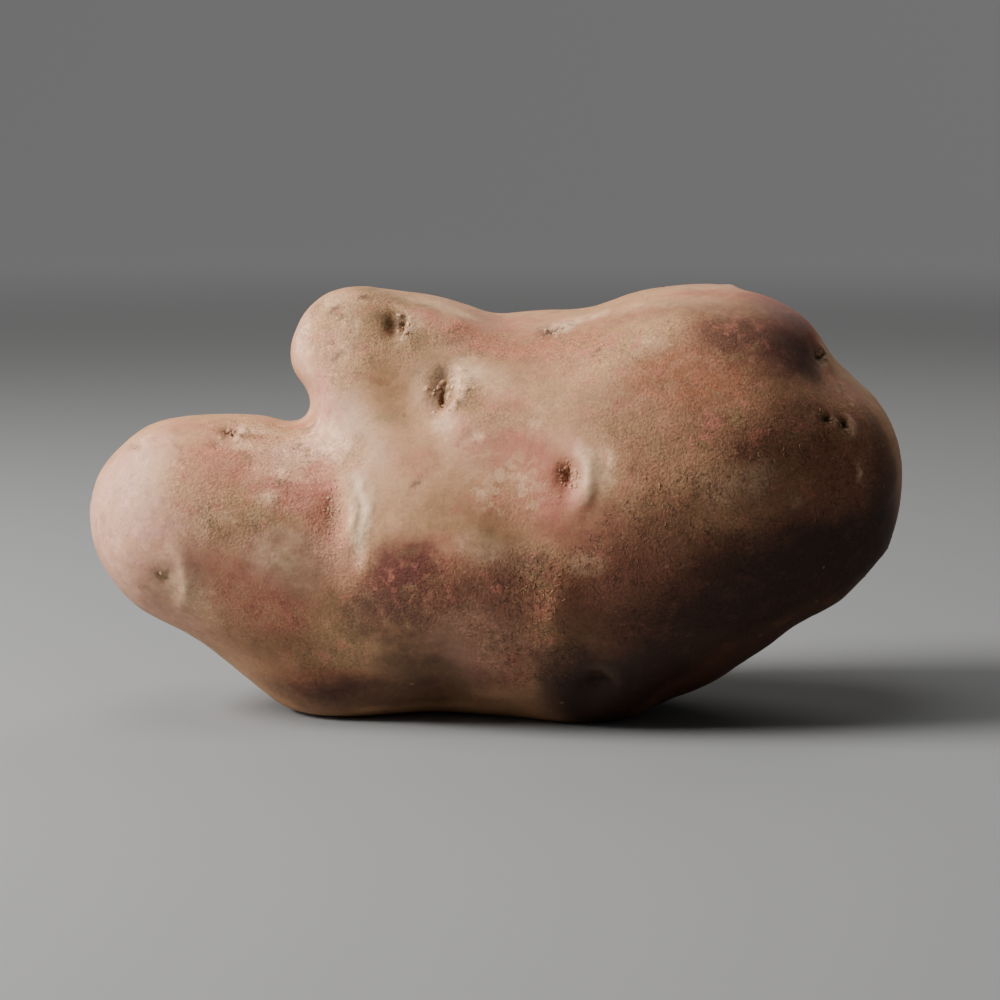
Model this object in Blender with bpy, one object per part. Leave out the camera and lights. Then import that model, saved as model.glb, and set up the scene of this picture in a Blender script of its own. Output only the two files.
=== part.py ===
"""A knobbly potato that grew as one piece: a tilted body, a thumb-shaped lobe and a short upright knob.

It lies on a small flat spot at z = 0. X is its long axis, with the thumb towards -X, and -Y is its front. The skin
is the surface where a sum of rounded lobes, swells, hollows and slow waves is zero. The eyes are pressed into that
surface, each with the brow that curves round it, and the skin is then thinned where it is plain.
"""

from typing import NamedTuple

import bmesh
import bpy
import numpy as np
from mathutils import Euler, Matrix, Vector
from mathutils.bvhtree import BVHTree

# Lengths in this script are millimetres; the finished mesh is scaled to metres at the end.
MM = 0.001

NODE = "potato"
LENGTH = 120.0  # of the whole potato along X
BLEND = 2.4  # how softly the lobes run into each other
GROUND_BLEND = 1.2  # how softly the skin turns into the flat spot it lies on
VOXEL = 0.8  # edge length of the fine skin that the eyes are pressed into
TRIANGLES = 10400  # how many the finished skin keeps

# Each lobe: centre, half sizes, and its turn in degrees about X, Y and Z.
LOBES = {
    "body": ((21.5, -1.0, 31.0), (35.5, 25.4, 26.8), (0, -30, 0)),
    "belly": ((18.8, 0.0, 21.2), (25.6, 20.5, 19.6), (0, -24, 0)),
    "shoulder": ((31.0, 4.0, 47.5), (18.4, 16.5, 15.2), (0, 12, 0)),
    "right_end": ((46.0, 1.0, 35.2), (13.6, 17.6, 15.6), (0, -4, 0)),
    "right_low": ((42.5, 0.0, 28.0), (12.4, 15.0, 13.0), (0, 0, 0)),
    "back": ((8.0, 6.0, 40.5), (22.0, 17.5, 18.0), (0, -2, 0)),
    "middle": ((-5.0, -1.5, 26.2), (26.5, 23.0, 27.4), (0, 16, 0)),
    "thumb_tip": ((-45.6, -3.5, 29.2), (14.5, 14.6, 14.6), (0, 0, 0)),
    "thumb_root": ((-31.5, -2.0, 24.6), (19.0, 17.5, 18.4), (0, 36, 0)),
    "left_foot": ((-24.0, -1.0, 10.4), (15.2, 13.5, 12.2), (0, 28, 0)),
    "right_foot": ((13.0, -8.0, 9.5), (9.0, 9.0, 11.2), (0, 0, 0)),
    "back_foot": ((3.0, 8.0, 10.0), (11.0, 8.5, 10.8), (0, 0, 0)),
    "knob_tip": ((-21.4, 2.0, 53.8), (8.4, 8.8, 8.3), (0, 0, 0)),
    "knob_side": ((-18.2, 2.5, 47.0), (8.4, 11.0, 8.5), (0, 0, 0)),
    "knob_root": ((-12.0, 3.0, 46.8), (13.4, 13.6, 14.3), (0, 40, 0)),
}

# Each swell, or hollow where the height is below zero: height, centre, half sizes and turn of its soft edge.
SWELLS = {
    "notch": (-2.6, (-30.0, 0.0, 45.6), (3.2, 16.0, 3.2), (0, 0, 0)),
    "knob_valley": (-2.4, (-11.5, -13.0, 46.5), (4.0, 6.0, 9.0), (0, -32, 0)),
    "foot_valley": (-2.4, (-8.0, -16.0, 6.0), (5.5, 8.0, 9.0), (0, 0, 0)),
    "foot_crest": (1.4, (8.5, -21.0, 15.0), (3.5, 8.0, 11.0), (0, 0, 0)),
    "right_hollow": (-2.4, (50.5, -7.5, 51.5), (7.0, 11.0, 5.5), (0, 0, 0)),
    "back_hollow": (-2.2, (-8.0, 22.0, 44.0), (9.0, 8.0, 6.0), (0, 30, 0)),
    "back_swell": (1.6, (30.0, 24.0, 22.0), (10.0, 8.0, 7.0), (0, -20, 0)),
}

# The slow unevenness of the whole skin, as waves: height, length, direction, and phase in degrees.
WAVES = [
    (0.18, 29.0, (0.80, 0.35, -0.49), 40),
    (0.16, 23.0, (-0.30, 0.78, 0.55), 200),
    (0.14, 18.0, (0.55, -0.60, 0.58), 310),
    (0.11, 13.0, (0.20, 0.50, -0.84), 95),
    (0.09, 11.0, (-0.72, -0.18, -0.67), 150),
]

# Each side that an eye can be seen from: the way one looks, and the directions across and up.
SIDES = {
    "front": ((0, 1, 0), (1, 0, 0), (0, 0, 1)),
    "back": ((0, -1, 0), (1, 0, 0), (0, 0, 1)),
    "top": ((0, 0, -1), (1, 0, 0), (0, 1, 0)),
    "right": ((-1, 0, 0), (0, 1, 0), (0, 0, 1)),
    "left": ((1, 0, 0), (0, 1, 0), (0, 0, 1)),
}


class Eye(NamedTuple):
    """A pit in the skin, and the brow that curves round one side of it."""

    side: str  # the side it is seen from
    place: tuple  # how far across and how high up it is there
    pit: tuple  # its depth, half width and half height
    brow: tuple  # its height, distance from the pit, half width and half length
    turn: float = 0.0  # in degrees, turning the brow up from the right


EYES = {
    "big": Eye("front", (-7.8, 48.9), (1.7, 2.0, 2.9), (0.7, 3.1, 1.0, 3.4), -8),
    "knob_pit": Eye("front", (-14.9, 57.7), (1.5, 0.9, 2.0), (0.4, 2.0, 0.9, 2.4)),
    "scarred": Eye("front", (-24.1, 31.7), (0.5, 1.4, 3.2), (0.9, 3.9, 0.9, 4.9)),
    "pink": Eye("front", (9.8, 37.7), (1.2, 1.5, 2.1), (0.6, 3.0, 1.1, 4.4)),
    "small_top": Eye("top", (7.4, -4.3), (0.8, 1.0, 1.0), (0.4, 1.9, 0.8, 1.6)),
    "thumb_top": Eye("top", (-38.6, -9.6), (0.8, 1.0, 0.9), (0.4, 1.9, 0.8, 1.6)),
    "thumb_tip": Eye("top", (-52.5, -8.8), (0.4, 0.8, 0.7), (0.2, 1.6, 0.7, 1.2)),
    "thumb_low": Eye("front", (-47.9, 22.3), (0.5, 1.1, 1.4), (0.45, 3.6, 0.8, 5.4)),
    "shoulder": Eye("front", (47.0, 53.1), (1.0, 1.5, 1.0), (0.5, 2.4, 0.9, 2.0), 30),
    "twin_left": Eye("front", (46.8, 45.1), (0.6, 0.9, 0.9), (0.2, 1.6, 0.7, 1.0)),
    "twin_right": Eye("front", (49.5, 44.0), (0.6, 0.9, 0.9), (0.4, 1.8, 0.7, 1.8)),
    "foot": Eye("front", (13.9, 7.2), (1.4, 2.4, 1.9), (0.7, 3.4, 1.0, 3.2), 50),
    "back_high": Eye("back", (24.0, 45.0), (1.4, 1.8, 2.4), (0.6, 3.2, 1.0, 3.8)),
    "back_middle": Eye("back", (-3.0, 33.0), (1.3, 1.7, 2.3), (0.7, 3.1, 1.0, 4.2), 10),
    "back_right": Eye("back", (41.0, 29.0), (1.0, 1.4, 1.8), (0.5, 2.8, 0.9, 3.2), -12),
    "back_low": Eye("back", (13.0, 17.0), (0.9, 1.5, 1.6), (0.5, 2.8, 0.9, 3.0)),
    "back_root": Eye("back", (-25.0, 23.0), (0.8, 1.3, 1.7), (0.5, 2.7, 0.9, 3.4), 8),
    "back_thumb": Eye("back", (-45.0, 34.0), (0.6, 1.0, 1.2), (0.4, 2.2, 0.8, 2.4)),
    "top_right": Eye("top", (33.0, 9.0), (1.0, 1.4, 1.3), (0.5, 2.6, 0.9, 2.6), -15),
    "knob_back": Eye("top", (-12.0, 10.0), (0.8, 1.0, 1.2), (0.4, 2.2, 0.8, 2.2)),
    "end_middle": Eye("right", (5.0, 34.0), (1.1, 1.5, 1.3), (0.5, 2.6, 0.9, 2.8), 20),
    "end_low": Eye("right", (-3.0, 22.5), (1.0, 2.0, 0.9), (0.4, 2.3, 0.8, 2.2), 90),
    "end_high": Eye("right", (10.0, 47.0), (0.7, 1.1, 1.1), (0.4, 2.2, 0.8, 2.0)),
    "tip_end": Eye("left", (3.0, 27.0), (0.5, 0.9, 0.9), (0.3, 1.9, 0.7, 1.8), 180),
}

EYE_REACH = 8.0  # how far along its own axis an eye changes the skin


def in_axes_of(points, centre, turn):
    """The points as seen from a lobe's or a swell's own centre and axes."""
    axes = np.array(Euler(np.radians(turn)).to_matrix())
    return (points - np.array(centre)) @ axes


def lobe_distance(points, lobe):
    """How far each point lies outside one lobe, and less than zero inside it."""
    centre, half, turn = lobe
    local = in_axes_of(points, centre, turn)
    half = np.array(half)
    reach = np.linalg.norm(local / half, axis=1)
    slope = np.linalg.norm(local / half**2, axis=1)
    return reach * (reach - 1.0) / np.maximum(slope, 1e-9)


def skin_distance(points):
    """How far each point lies outside the potato: the lobes joined softly, then cut softly by the ground."""
    lobes = np.array([lobe_distance(points, lobe) for lobe in LOBES.values()])
    grown = -BLEND * np.logaddexp.reduce(-lobes / BLEND, axis=0)
    for height, centre, half, turn in SWELLS.values():
        local = in_axes_of(points, centre, turn) / np.array(half)
        grown -= height * np.exp(-(local**2).sum(axis=1))
    for height, length, direction, phase in WAVES:
        grown -= height * np.sin(2 * np.pi * (points @ np.array(direction)) / length + np.radians(phase))
    ground = -points[:, 2]
    near = np.maximum(GROUND_BLEND - np.abs(grown - ground), 0.0) / GROUND_BLEND
    return np.maximum(grown, ground) + near**2 * GROUND_BLEND / 4.0


def skin_normal(points):
    """The slope of skin_distance, which points straight out of the skin."""
    step = 0.05
    slope = [
        (skin_distance(points + side) - skin_distance(points - side)) / (2 * step)
        for side in np.eye(3) * step
    ]
    return np.stack(slope, axis=1)


def read_points(mesh):
    points = np.empty(len(mesh.vertices) * 3)
    mesh.vertices.foreach_get("co", points)
    return points.reshape(-1, 3)


def write_points(mesh, points):
    mesh.vertices.foreach_set("co", points.astype(np.float32).ravel())
    mesh.update()


def apply_modifiers(thing):
    """Gives the object the mesh that its modifiers make, and takes them off."""
    graph = bpy.context.evaluated_depsgraph_get()
    finished = bpy.data.meshes.new_from_object(thing.evaluated_get(graph))
    thing.modifiers.clear()
    thing.data = finished


def rough_skin():
    """A closed skin of small even faces round all the lobes."""
    mesh = bpy.data.meshes.new(NODE)
    shape = bmesh.new()
    for centre, half, turn in LOBES.values():
        place = Matrix.LocRotScale(Vector(centre), Euler(np.radians(turn)), Vector(half))
        bmesh.ops.create_icosphere(shape, subdivisions=4, radius=1.0, matrix=place)
    shape.to_mesh(mesh)
    shape.free()
    potato = bpy.data.objects.new(NODE, mesh)
    bpy.context.scene.collection.objects.link(potato)
    remesh = potato.modifiers.new("fuse", "REMESH")
    remesh.mode = "VOXEL"
    remesh.voxel_size = VOXEL
    apply_modifiers(potato)
    return potato


def settle(mesh, rounds):
    """Pulls the mesh onto the skin and evens out its faces, a little at a time."""
    points = read_points(mesh)
    edges = np.array([edge.vertices[:] for edge in mesh.edges])
    count = np.bincount(edges.ravel(), minlength=len(points))[:, None]
    for _ in range(rounds):
        total = np.zeros_like(points)
        np.add.at(total, edges[:, 0], points[edges[:, 1]])
        np.add.at(total, edges[:, 1], points[edges[:, 0]])
        points = points + 0.5 * (total / count - points)
        for _ in range(2):
            normal = skin_normal(points)
            steep = np.maximum((normal**2).sum(axis=1, keepdims=True), 0.05)
            points = points - skin_distance(points)[:, None] * normal / steep
    write_points(mesh, points)


def eye_axes(eye, skin):
    """Where an eye sits on the skin, with the directions across it, up it and out of it."""
    look, across, up = (Vector(direction) for direction in SIDES[eye.side])
    start = eye.place[0] * across + eye.place[1] * up - 2 * LENGTH * look
    centre, outward, _, _ = skin.ray_cast(start, look)
    across = (across - across.dot(outward) * outward).normalized()
    up = (up - up.dot(outward) * outward - up.dot(across) * across).normalized()
    turn = np.radians(eye.turn)
    brow_way = np.cos(turn) * across + np.sin(turn) * up
    along = np.cos(turn) * up - np.sin(turn) * across
    return np.array(centre), np.array(brow_way), np.array(along), np.array(outward)


def press_eye(points, eye, skin):
    """The points with one eye's pit pressed in and its brow raised, a crescent that bends back round the pit."""
    centre, brow_way, along, outward = eye_axes(eye, skin)
    local = points - centre
    across = local @ brow_way
    up = local @ along
    depth, pit_width, pit_height = eye.pit
    height, distance, brow_width, brow_length = eye.brow
    pit = depth * np.exp(-((across / pit_width) ** 2) - (up / pit_height) ** 2)
    crest = distance * (1.0 - 0.4 * (up / brow_length) ** 2)
    brow = height * np.exp(-(((across - crest) / brow_width) ** 2) - (up / brow_length) ** 4)
    near = np.exp(-((local @ outward / EYE_REACH) ** 4))
    return points + ((brow - pit) * near)[:, None] * outward


def press_eyes(mesh):
    skin = BVHTree.FromPolygons([v.co for v in mesh.vertices], [p.vertices[:] for p in mesh.polygons])
    points = read_points(mesh)
    for eye in EYES.values():
        points = press_eye(points, eye, skin)
    write_points(mesh, points)


def thin_out(potato):
    """Leaves small faces only where the skin curves sharply, and the flat spot exactly flat."""
    triangles = sum(len(face.vertices) - 2 for face in potato.data.polygons)
    thin = potato.modifiers.new("thin out", "DECIMATE")
    thin.ratio = TRIANGLES / triangles
    thin.use_collapse_triangulate = True
    apply_modifiers(potato)
    points = read_points(potato.data)
    points[points[:, 2] < 0.01, 2] = 0.0
    write_points(potato.data, points)


def bring_to_size(mesh):
    """Puts the origin under the middle of the potato, on the ground, and scales it to its real length in metres."""
    points = read_points(mesh)
    low = points.min(axis=0)
    high = points.max(axis=0)
    middle = np.array([(low[0] + high[0]) / 2, (low[1] + high[1]) / 2, 0.0])
    write_points(mesh, (points - middle) * LENGTH / (high[0] - low[0]) * MM)


def skin_material():
    material = bpy.data.materials.new("potato_skin")
    material.use_nodes = True
    shader = material.node_tree.nodes["Principled BSDF"]
    shader.inputs["Base Color"].default_value = (0.42, 0.25, 0.17, 1.0)
    shader.inputs["Roughness"].default_value = 0.62
    shader.inputs["Metallic"].default_value = 0.0
    return material


def clear_scene():
    for thing in list(bpy.data.objects):
        bpy.data.objects.remove(thing)


def main():
    clear_scene()
    potato = rough_skin()
    settle(potato.data, rounds=12)
    press_eyes(potato.data)
    thin_out(potato)
    bring_to_size(potato.data)
    potato.data.shade_smooth()
    potato.data.materials.append(skin_material())


main()
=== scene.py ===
"""Looks for a knobbly potato: a fine skin with its eyes, cork crumbs and flakes, on a pale studio floor."""

import math
from typing import NamedTuple

import bmesh
import bpy
import numpy as np
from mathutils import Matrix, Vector
from mathutils.bvhtree import BVHTree


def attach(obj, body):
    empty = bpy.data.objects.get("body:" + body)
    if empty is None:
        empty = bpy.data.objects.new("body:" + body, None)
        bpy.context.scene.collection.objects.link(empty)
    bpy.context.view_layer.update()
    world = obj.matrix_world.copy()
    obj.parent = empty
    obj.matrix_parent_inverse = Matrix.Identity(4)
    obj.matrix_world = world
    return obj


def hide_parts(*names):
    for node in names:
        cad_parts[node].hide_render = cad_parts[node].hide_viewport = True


MM = 0.001

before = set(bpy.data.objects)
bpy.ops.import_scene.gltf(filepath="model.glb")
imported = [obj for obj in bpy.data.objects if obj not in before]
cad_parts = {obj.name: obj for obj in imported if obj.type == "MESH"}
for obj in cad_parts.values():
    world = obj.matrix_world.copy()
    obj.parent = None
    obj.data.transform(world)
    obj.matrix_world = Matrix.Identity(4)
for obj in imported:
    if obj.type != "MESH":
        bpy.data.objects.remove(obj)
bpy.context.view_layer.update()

# The camera looks slightly down on the potato's front. Its target and distance are in metres.
CAMERA_TARGET = Vector((0.0004, 0.0, 0.0312))
CAMERA_DISTANCE = 0.4125
CAMERA_LENS = 100.0  # in millimetres, as the sensor is
CAMERA_SENSOR = 36.0
PICTURE_SIZE = 1000.0  # across and down, with places in it counted from its top left corner
CAMERA_ELEVATION = math.radians(8.0)

# The studio, in metres: a pale floor that curves up all round.
FLOOR_RADIUS = 1.3
FLOOR_CURVE = 0.7
FLOOR_COLOUR = (0.24, 0.24, 0.24, 1.0)
WALL_GLOW = 0.13
AIR_STRENGTH = 0.03
LIGHTS = {  # place, width, power and colour of each round light
    "key_light": ((-0.443, -0.094, 0.360), 0.26, 6.6, (1.0, 0.99, 0.97)),
    "side_light": ((-0.46, -0.03, 0.10), 0.30, 0.8, (1.0, 0.98, 0.99)),
    "top_light": ((-0.08, 0.0, 0.62), 0.35, 1.0, (1.0, 1.0, 1.0)),
    "back_light": ((0.188, 0.404, 0.43), 0.40, 0.7, (1.0, 0.99, 0.97)),
}

# The skin mesh, in millimetres.
FORM_VOXEL = 0.5  # of the smooth form that the skin follows
SKIN_VOXEL = 0.92  # away from the eyes, where it gives just under 200,000 triangles in all
SMOOTH_ROUNDS = 14
EYE_REACH = 7.0  # how far along its own axis an eye changes the skin
BROW_SWELL = 0.36  # how far the palest brow stands out
FULL_CRUST = 0.16  # how high crust stands where it has its full colour
LUMP_CROWD = 3.2  # how closely an eye's own lumps of crust crowd it

# Each side that an eye is placed from: the way one looks, and the directions across and up.
SIDES = {
    "front": ((0, 1, 0), (1, 0, 0), (0, 0, 1)),
    "back": ((0, -1, 0), (1, 0, 0), (0, 0, 1)),
    "top": ((0, 0, -1), (1, 0, 0), (0, 1, 0)),
    "right": ((-1, 0, 0), (0, 1, 0), (0, 0, 1)),
    "left": ((1, 0, 0), (0, 1, 0), (0, 0, 1)),
}


class Eye(NamedTuple):
    """How one eye is finished. Lengths are millimetres and the rest are strengths from 0 to 1."""

    side: str  # the side it is seen from
    place: tuple  # how far across and how high up it is there
    slit: tuple  # depth, half width and half height of the dark slit pressed into its pit
    pit: tuple  # half width and half height of its shaded pit
    brow: tuple  # distance from the pit, half width and half length
    soil_and_shade: float  # how dark the pit is: soil and painted shade in the slit and pit, and painted shade on its left side
    rim: float  # how pale the brow is, partly a painted highlight on its ridge
    crumbs: float  # how thickly cork crumbs lie round it
    turn: float = 0.0  # in degrees, turning the brow up from the right
    blush: float = 0.0  # how pink the skin beside it is
    green: float = 0.0  # how green its bud is
    lumps: tuple = (0.16, 0.42)  # the smallest and largest half width of its crust's lumps


EYES = {
    "big": Eye(
        "front", (-8.2, 47.3), slit=(0.7, 0.45, 1.3), pit=(1.5, 2.3), brow=(3.4, 1.1, 3.2),
        turn=-8, soil_and_shade=0.7, rim=0.5, crumbs=0.35,
    ),
    "knob_pit": Eye(
        "front", (-13.9, 57.6), slit=(0.9, 0.45, 1.4), pit=(1.0, 1.9), brow=(1.6, 0.9, 2.6),
        turn=-8, soil_and_shade=0.9, rim=0.5, crumbs=0.3,
    ),
    "scarred": Eye(
        "front", (-23.6, 31.9), slit=(0.1, 0.7, 2.4), pit=(1.0, 2.9), brow=(5.8, 1.2, 5.2),
        soil_and_shade=0.3, rim=1.0, crumbs=0.7, blush=0.5, lumps=(0.10, 0.24),
    ),
    "pink": Eye(
        "front", (9.8, 37.7), slit=(0.4, 0.6, 1.2), pit=(1.2, 2.0), brow=(3.6, 1.1, 4.2),
        soil_and_shade=0.4, rim=0.7, crumbs=0.8, blush=1.0, lumps=(0.12, 0.30),
    ),
    "small_top": Eye(
        "top", (8.0, -3.9), slit=(0.6, 0.9, 1.0), pit=(1.4, 1.6), brow=(2.4, 1.1, 1.9),
        soil_and_shade=0.9, rim=0.7, crumbs=0.6, blush=0.3,
    ),
    "thumb_top": Eye(
        "top", (-38.6, -8.8), slit=(0.5, 0.6, 0.5), pit=(1.0, 0.9), brow=(1.9, 0.8, 1.6),
        soil_and_shade=0.9, rim=0.6, crumbs=0.9, blush=0.5,
    ),
    "thumb_tip": Eye(
        "top", (-52.5, -8.0), slit=(0.2, 0.6, 0.3), pit=(0.8, 0.7), brow=(1.6, 0.7, 1.2),
        soil_and_shade=0.4, rim=0.3, crumbs=0.3, blush=0.3,
    ),
    "thumb_low": Eye(
        "front", (-47.9, 22.3), slit=(0.2, 0.6, 0.8), pit=(1.1, 1.4), brow=(3.6, 0.8, 5.4),
        soil_and_shade=0.25, rim=0.4, crumbs=0.15, green=0.5,
    ),
    "shoulder": Eye(
        "front", (47.0, 53.0), slit=(0.6, 0.9, 0.5), pit=(1.5, 1.0), brow=(2.4, 0.9, 2.0),
        turn=30, soil_and_shade=1.0, rim=0.4, crumbs=0.4, green=1.0,
    ),
    "twin_left": Eye(
        "front", (46.8, 45.0), slit=(0.4, 0.6, 0.6), pit=(0.9, 0.9), brow=(1.6, 0.7, 1.0),
        soil_and_shade=1.0, rim=0.3, crumbs=0.5,
    ),
    "twin_right": Eye(
        "front", (49.4, 44.0), slit=(0.4, 0.6, 0.6), pit=(0.9, 0.9), brow=(1.8, 0.7, 1.8),
        soil_and_shade=1.0, rim=0.4, crumbs=0.5, green=0.5,
    ),
    "foot": Eye(
        "front", (13.9, 7.2), slit=(0.5, 1.2, 0.9), pit=(2.4, 1.9), brow=(3.4, 1.0, 3.2),
        turn=50, soil_and_shade=0.8, rim=0.05, crumbs=0.0,
    ),
    "back_high": Eye(
        "back", (24.0, 45.0), slit=(0.7, 0.8, 1.3), pit=(1.8, 2.4), brow=(3.2, 1.0, 3.8),
        soil_and_shade=0.8, rim=0.7, crumbs=0.9, blush=0.7,
    ),
    "back_middle": Eye(
        "back", (-3.0, 33.0), slit=(0.6, 0.8, 1.3), pit=(1.7, 2.3), brow=(3.1, 1.0, 4.2),
        turn=10, soil_and_shade=0.8, rim=0.8, crumbs=0.9, blush=0.6,
    ),
    "back_right": Eye(
        "back", (41.0, 29.0), slit=(0.5, 0.7, 1.0), pit=(1.4, 1.8), brow=(2.8, 0.9, 3.2),
        turn=-12, soil_and_shade=0.8, rim=0.6, crumbs=0.7,
    ),
    "back_low": Eye(
        "back", (13.0, 17.0), slit=(0.5, 0.7, 0.9), pit=(1.5, 1.6), brow=(2.8, 0.9, 3.0),
        soil_and_shade=0.7, rim=0.5, crumbs=0.6,
    ),
    "back_root": Eye(
        "back", (-25.0, 23.0), slit=(0.4, 0.7, 1.0), pit=(1.3, 1.7), brow=(2.7, 0.9, 3.4),
        turn=8, soil_and_shade=0.7, rim=0.7, crumbs=0.7, blush=0.4,
    ),
    "back_thumb": Eye(
        "back", (-45.0, 34.0), slit=(0.3, 0.5, 0.7), pit=(1.0, 1.2), brow=(2.2, 0.8, 2.4),
        soil_and_shade=0.6, rim=0.5, crumbs=0.5, blush=0.4,
    ),
    "top_right": Eye(
        "top", (33.0, 9.8), slit=(0.5, 0.7, 0.7), pit=(1.4, 1.3), brow=(2.6, 0.9, 2.6),
        turn=-15, soil_and_shade=0.9, rim=0.5, crumbs=0.8,
    ),
    "knob_back": Eye(
        "top", (-12.0, 10.8), slit=(0.4, 0.5, 0.7), pit=(1.0, 1.2), brow=(2.2, 0.8, 2.2),
        soil_and_shade=0.8, rim=0.5, crumbs=0.6,
    ),
    "end_middle": Eye(
        "right", (5.8, 34.0), slit=(0.6, 0.7, 0.7), pit=(1.5, 1.3), brow=(2.6, 0.9, 2.8),
        turn=20, soil_and_shade=1.0, rim=0.4, crumbs=0.7, green=0.7,
    ),
    "end_low": Eye(
        "right", (-2.2, 22.5), slit=(0.4, 1.0, 0.5), pit=(2.0, 0.9), brow=(2.3, 0.8, 2.2),
        turn=90, soil_and_shade=0.8, rim=0.4, crumbs=0.5,
    ),
    "end_high": Eye(
        "right", (10.8, 47.0), slit=(0.4, 0.6, 0.6), pit=(1.1, 1.1), brow=(2.2, 0.8, 2.0),
        soil_and_shade=0.9, rim=0.4, crumbs=0.6,
    ),
    "tip_end": Eye(
        "left", (3.8, 27.0), slit=(0.3, 0.5, 0.5), pit=(0.9, 0.9), brow=(1.9, 0.7, 1.8),
        turn=180, soil_and_shade=0.5, rim=0.5, crumbs=0.5, blush=0.5,
    ),
}


class Patch(NamedTuple):
    """One soft-edged patch of a mark on the front, placed in the camera's picture."""

    place: tuple  # across and down in the picture
    size: tuple  # half width and half height on the skin, in millimetres
    strength: float
    turn: float = 0.0  # in degrees, turning its right end up


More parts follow.
